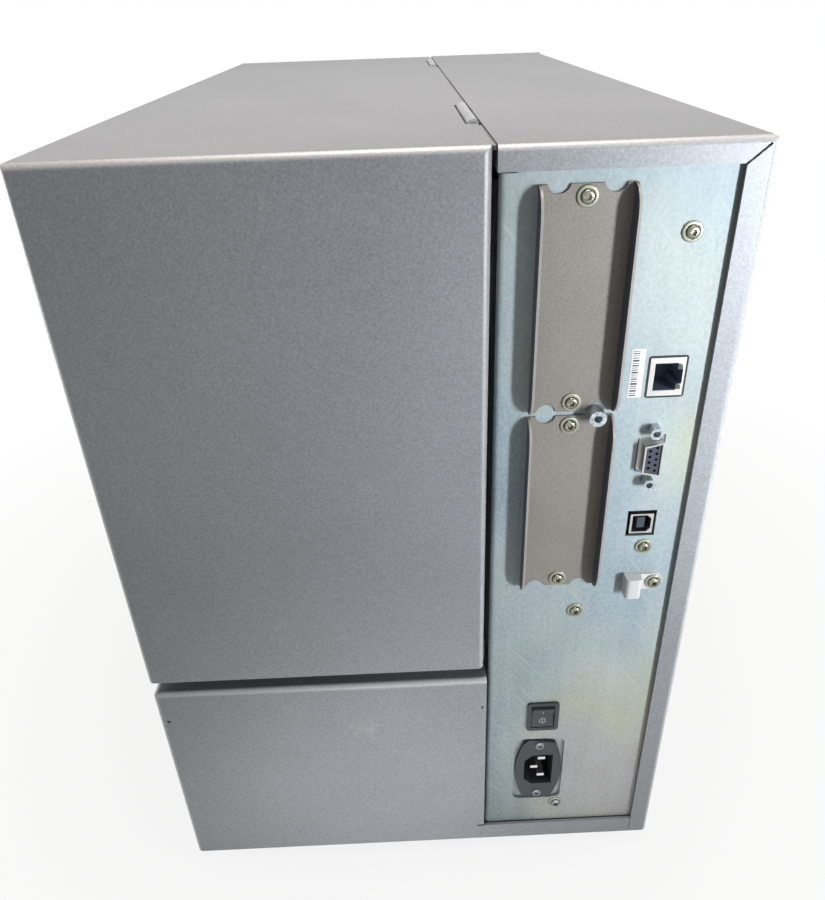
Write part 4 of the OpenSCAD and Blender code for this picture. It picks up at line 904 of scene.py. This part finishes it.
dress(finish("display_face", display_face, {}), "display_module")


# Keys: pale smooth plastic with printed signs for pause, feed and cancel.
# The signs are two bars, an arrowhead and a cross, given by their half sizes from each key's middle.
key_x = (-107.7, -85.7, -63.7)
key_z = 263.2
key_face = -252.4
sign_half = 2.0
bar_middle = 1.1
bar_half = 0.55
arrow_half = 1.5
arrow_slope = 0.8
cross_half = 1.8
stroke_half = 0.6


def key_plastic(place):
    fine = place.noise(1400, 2.0)
    x, y, z = place.axes()
    face = y < key_face * mm
    up = z - key_z * mm
    pause, feed, cancel = [x - middle * mm for middle in key_x]
    tall = abs(up) < sign_half * mm
    bars = (abs(abs(pause) - bar_middle * mm) < bar_half * mm) * tall
    arrow = (abs(feed) + up * arrow_slope < arrow_half * mm) * tall
    near = (abs(cancel) < cross_half * mm) * (abs(up) < cross_half * mm)
    cross = ((abs(cancel - up) < stroke_half * mm) | (abs(cancel + up) < stroke_half * mm)) * near
    sign = (bars | (arrow | cross)) * face
    body = fine.mix((0.40, 0.41, 0.42, 1), (0.54, 0.55, 0.56, 1))
    return {
        "Base Color": sign.mix(body, (0.035, 0.036, 0.04, 1)),
        "Roughness": 0.36 + fine * 0.12,
    }


dress(finish("key_plastic", key_plastic, {}), "pause_key", "feed_key", "cancel_key")


# Status lights: five pale green domes, unlit, in a row over the keys.
# One is turned with a round edge, copied, and all are pressed into the bezel.
status_count = 5
status_z = 278.0
status_pitch = 9.0
status_radius = 1.7
status_height = 1.0
status_edge = 0.5
status_seat = -251.3

status_dome = speckle(500, (0.30, 0.36, 0.30), (0.44, 0.50, 0.42), 0.12, 0.08)
row_start = key_x[1] - (status_count - 1) / 2 * status_pitch
dome = peg((row_start, status_seat, status_z), (0, -1, 0), status_radius, status_height, status_edge)
domes = [dome] + [copied(dome, (i * status_pitch, 0, 0)) for i in range(1, status_count)]
fit(joined("status_lights", domes), "frame", finish("status_dome", status_dome, {}))


# Head lever: a moulded plastic grip on the latch shaft.
# It is deep teal, so that the hand finds it.
lever_plastic = speckle(1000, (0.02, 0.16, 0.19), (0.05, 0.26, 0.30), 0.34, 0.14)
dress(finish("lever_plastic", lever_plastic, {}), "head_lever")


# Main board and panel board: glass fibre under a green solder mask.
# The copper tracks show through it as paler lines.
def solder_mask(place):
    cells = place.node("ShaderNodeTexVoronoi", {"distance": "MANHATTAN"},
                       {"Vector": place, "Scale": 160.0})
    line = cells.ramp((0.42, 0), (0.46, 1), (0.52, 0))
    fine = place.noise(900, 2.0)
    body = fine.mix((0.010, 0.075, 0.035, 1), (0.022, 0.125, 0.060, 1))
    return {
        "Base Color": (line * 0.6).mix(body, (0.045, 0.22, 0.10, 1)),
        "Roughness": 0.28 + fine * 0.16,
    }


dress(finish("solder_mask", solder_mask, {}), "main_board", "panel_board")


# Drive motor and ribbon motors: steel cases.
# They are dipped in black enamel.
motor_enamel = speckle(1000, (0.020, 0.020, 0.022), (0.050, 0.050, 0.053), 0.34, 0.14)
dress(finish("motor_enamel", motor_enamel, {"Metallic": 0.2}), "drive_motor", "ribbon_motors")


# Feet, platen sleeve and drive belt: black rubber.
# It is matt, with a fine ground grain.
matt_rubber = speckle(1200, (0.018, 0.018, 0.018), (0.045, 0.044, 0.043), 0.72, 0.16, texture=0.14)
rubber = finish("matt_rubber", matt_rubber, {})
dress(rubber, "rubber_feet", "platen_roller", "drive_belt")


# Door window and display lens: clear polycarbonate sheet.
# It has a faint smoky tint and a slight haze.
def polycarbonate(place):
    haze = place.noise(16, 2.0)
    return {
        "Base Color": haze.mix((0.50, 0.53, 0.55, 1), (0.60, 0.63, 0.64, 1)),
        "Roughness": 0.04 + haze * 0.05,
        "Alpha": 0.26 + haze * 0.08,
    }


dress(finish("polycarbonate", polycarbonate, {"IOR": 1.58}), "door_window", "display_lens")


# Window trim: a black rubber bead pressed round the opening of the side door.
# A rounded sheet is cut down to its rim, thickened and rounded.
trim_middle = (132.7, 0.0, 224.8)
trim_size = (101.0, 305.0)
trim_corner = 10.5
trim_width = 3.6
trim_depth = 1.3
trim_edge = 0.35

trim = hoop(trim_middle, (0, 90, 0), trim_size, trim_corner, trim_width, trim_depth)
soft = trim.modifiers.new("edges", "BEVEL")
soft.width = trim_edge * mm
soft.segments = 2
bpy.ops.object.modifier_apply(modifier=soft.name)
fit(joined("window_trim", [trim]), "door", rubber)


# The studio: a pale floor that fades into a white room, a narrow upright lamp on the right by the camera,
# a soft one overhead, a weak one low down, and one for each other side of the case. All are in metres.
# The floor and the room are white to the camera, to metal and to glass.
floor_size = 12.0
floor_colour = (0.50, 0.50, 0.50, 1)
floor_roughness = 0.9
room_light = 0.06
room_colour = (0.93, 0.97, 1.0, 1)
white_near = 0.84
white_reach = (0.20, 0.55)


def seen_by_eye(rays):
    """1 for rays from the camera and for those that metal and glass send on."""
    path = rays.socket.node.outputs
    return rays | Wire(rays.tree, path["Is Glossy Ray"]) | Wire(rays.tree, path["Is Transmission Ray"])


bpy.ops.object.select_all(action="DESELECT")
bpy.ops.mesh.primitive_plane_add(size=floor_size, location=(0, 0, 0))
floor = bpy.context.object
floor.name = "floor"
floor_material = bpy.data.materials.new("pale_floor")
floor_material.use_nodes = True
tree = floor_material.node_tree
rays = Wire(tree, tree.nodes.new("ShaderNodeLightPath").outputs["Is Camera Ray"])
matt = tree.nodes["Principled BSDF"]
matt.inputs["Base Color"].default_value = floor_colour
matt.inputs["Roughness"].default_value = floor_roughness
glow = rays.node("ShaderNodeEmission", {}, {"Color": (1, 1, 1, 1), "Strength": 1.0})
ground = Wire(tree, tree.nodes.new("ShaderNodeTexCoord").outputs["Object"])
away = ground.node("ShaderNodeVectorMath", {"operation": "LENGTH"}, {0: ground}, out=1)
white = away.ramp((white_reach[0], white_near), (white_reach[1], 1.0))
surface = rays.node("ShaderNodeMixShader", {}, {0: seen_by_eye(rays) * white,
                                                1: Wire(tree, matt.outputs["BSDF"]), 2: glow})
tree.links.new(surface.socket, tree.nodes["Material Output"].inputs["Surface"])
floor.data.materials.append(floor_material)

world = bpy.data.worlds.new("white_room")
bpy.context.scene.world = world
world.use_nodes = True
tree = world.node_tree
rays = Wire(tree, tree.nodes.new("ShaderNodeLightPath").outputs["Is Camera Ray"])
seen = seen_by_eye(rays)
rays.feed(tree.nodes["Background"], "Strength", room_light + seen * (1 - room_light))
rays.feed(tree.nodes["Background"], "Color", seen.mix(room_colour, (1, 1, 1, 1)))


def lamp(name, place, aim, width, height, power, colour, spread_deg=180):
    """An area lamp at a place, turned to face a point."""
    bpy.ops.object.light_add(type="AREA", location=place)
    made = bpy.context.object
    made.name = name
    made.data.shape = "RECTANGLE"
    made.data.size = width
    made.data.size_y = height
    made.data.energy = power
    made.data.color = colour
    made.data.spread = math.radians(spread_deg)
    made.rotation_euler = (Vector(aim) - Vector(place)).to_track_quat("-Z", "Y").to_euler()


lamp("window_lamp", (-0.48, 0.78, 0.325), (-0.21, 0.25, 0.30), 0.07, 0.28, 0.79, (0.94, 0.97, 1.0), 50)
lamp("ceiling_lamp", (-0.06, 0.18, 1.50), (-0.04, 0.10, 0.3), 0.62, 0.62, 17, (1.0, 0.88, 0.79))
lamp("side_lamp", (-1.20, 0.10, 0.45), (0.0, 0.2, 0.25), 0.7, 0.7, 6, (1.0, 1.0, 1.0))
lamp("table_lamp", (-0.02, 0.58, 0.015), (0.02, 0.25, 0.01), 0.14, 0.14, 0.145, (1.0, 1.0, 1.0), 50)
lamp("door_lamp", (1.40, -0.10, 0.21), (0.0, 0.0, 0.24), 0.34, 0.34, 10, (1.0, 0.99, 0.97))
lamp("front_lamp", (-0.10, -1.45, 0.21), (0.0, 0.0, 0.24), 0.34, 0.34, 9, (1.0, 0.99, 0.97))


# The last setting: plain colours in the picture.
bpy.context.scene.view_settings.view_transform = "Standard"
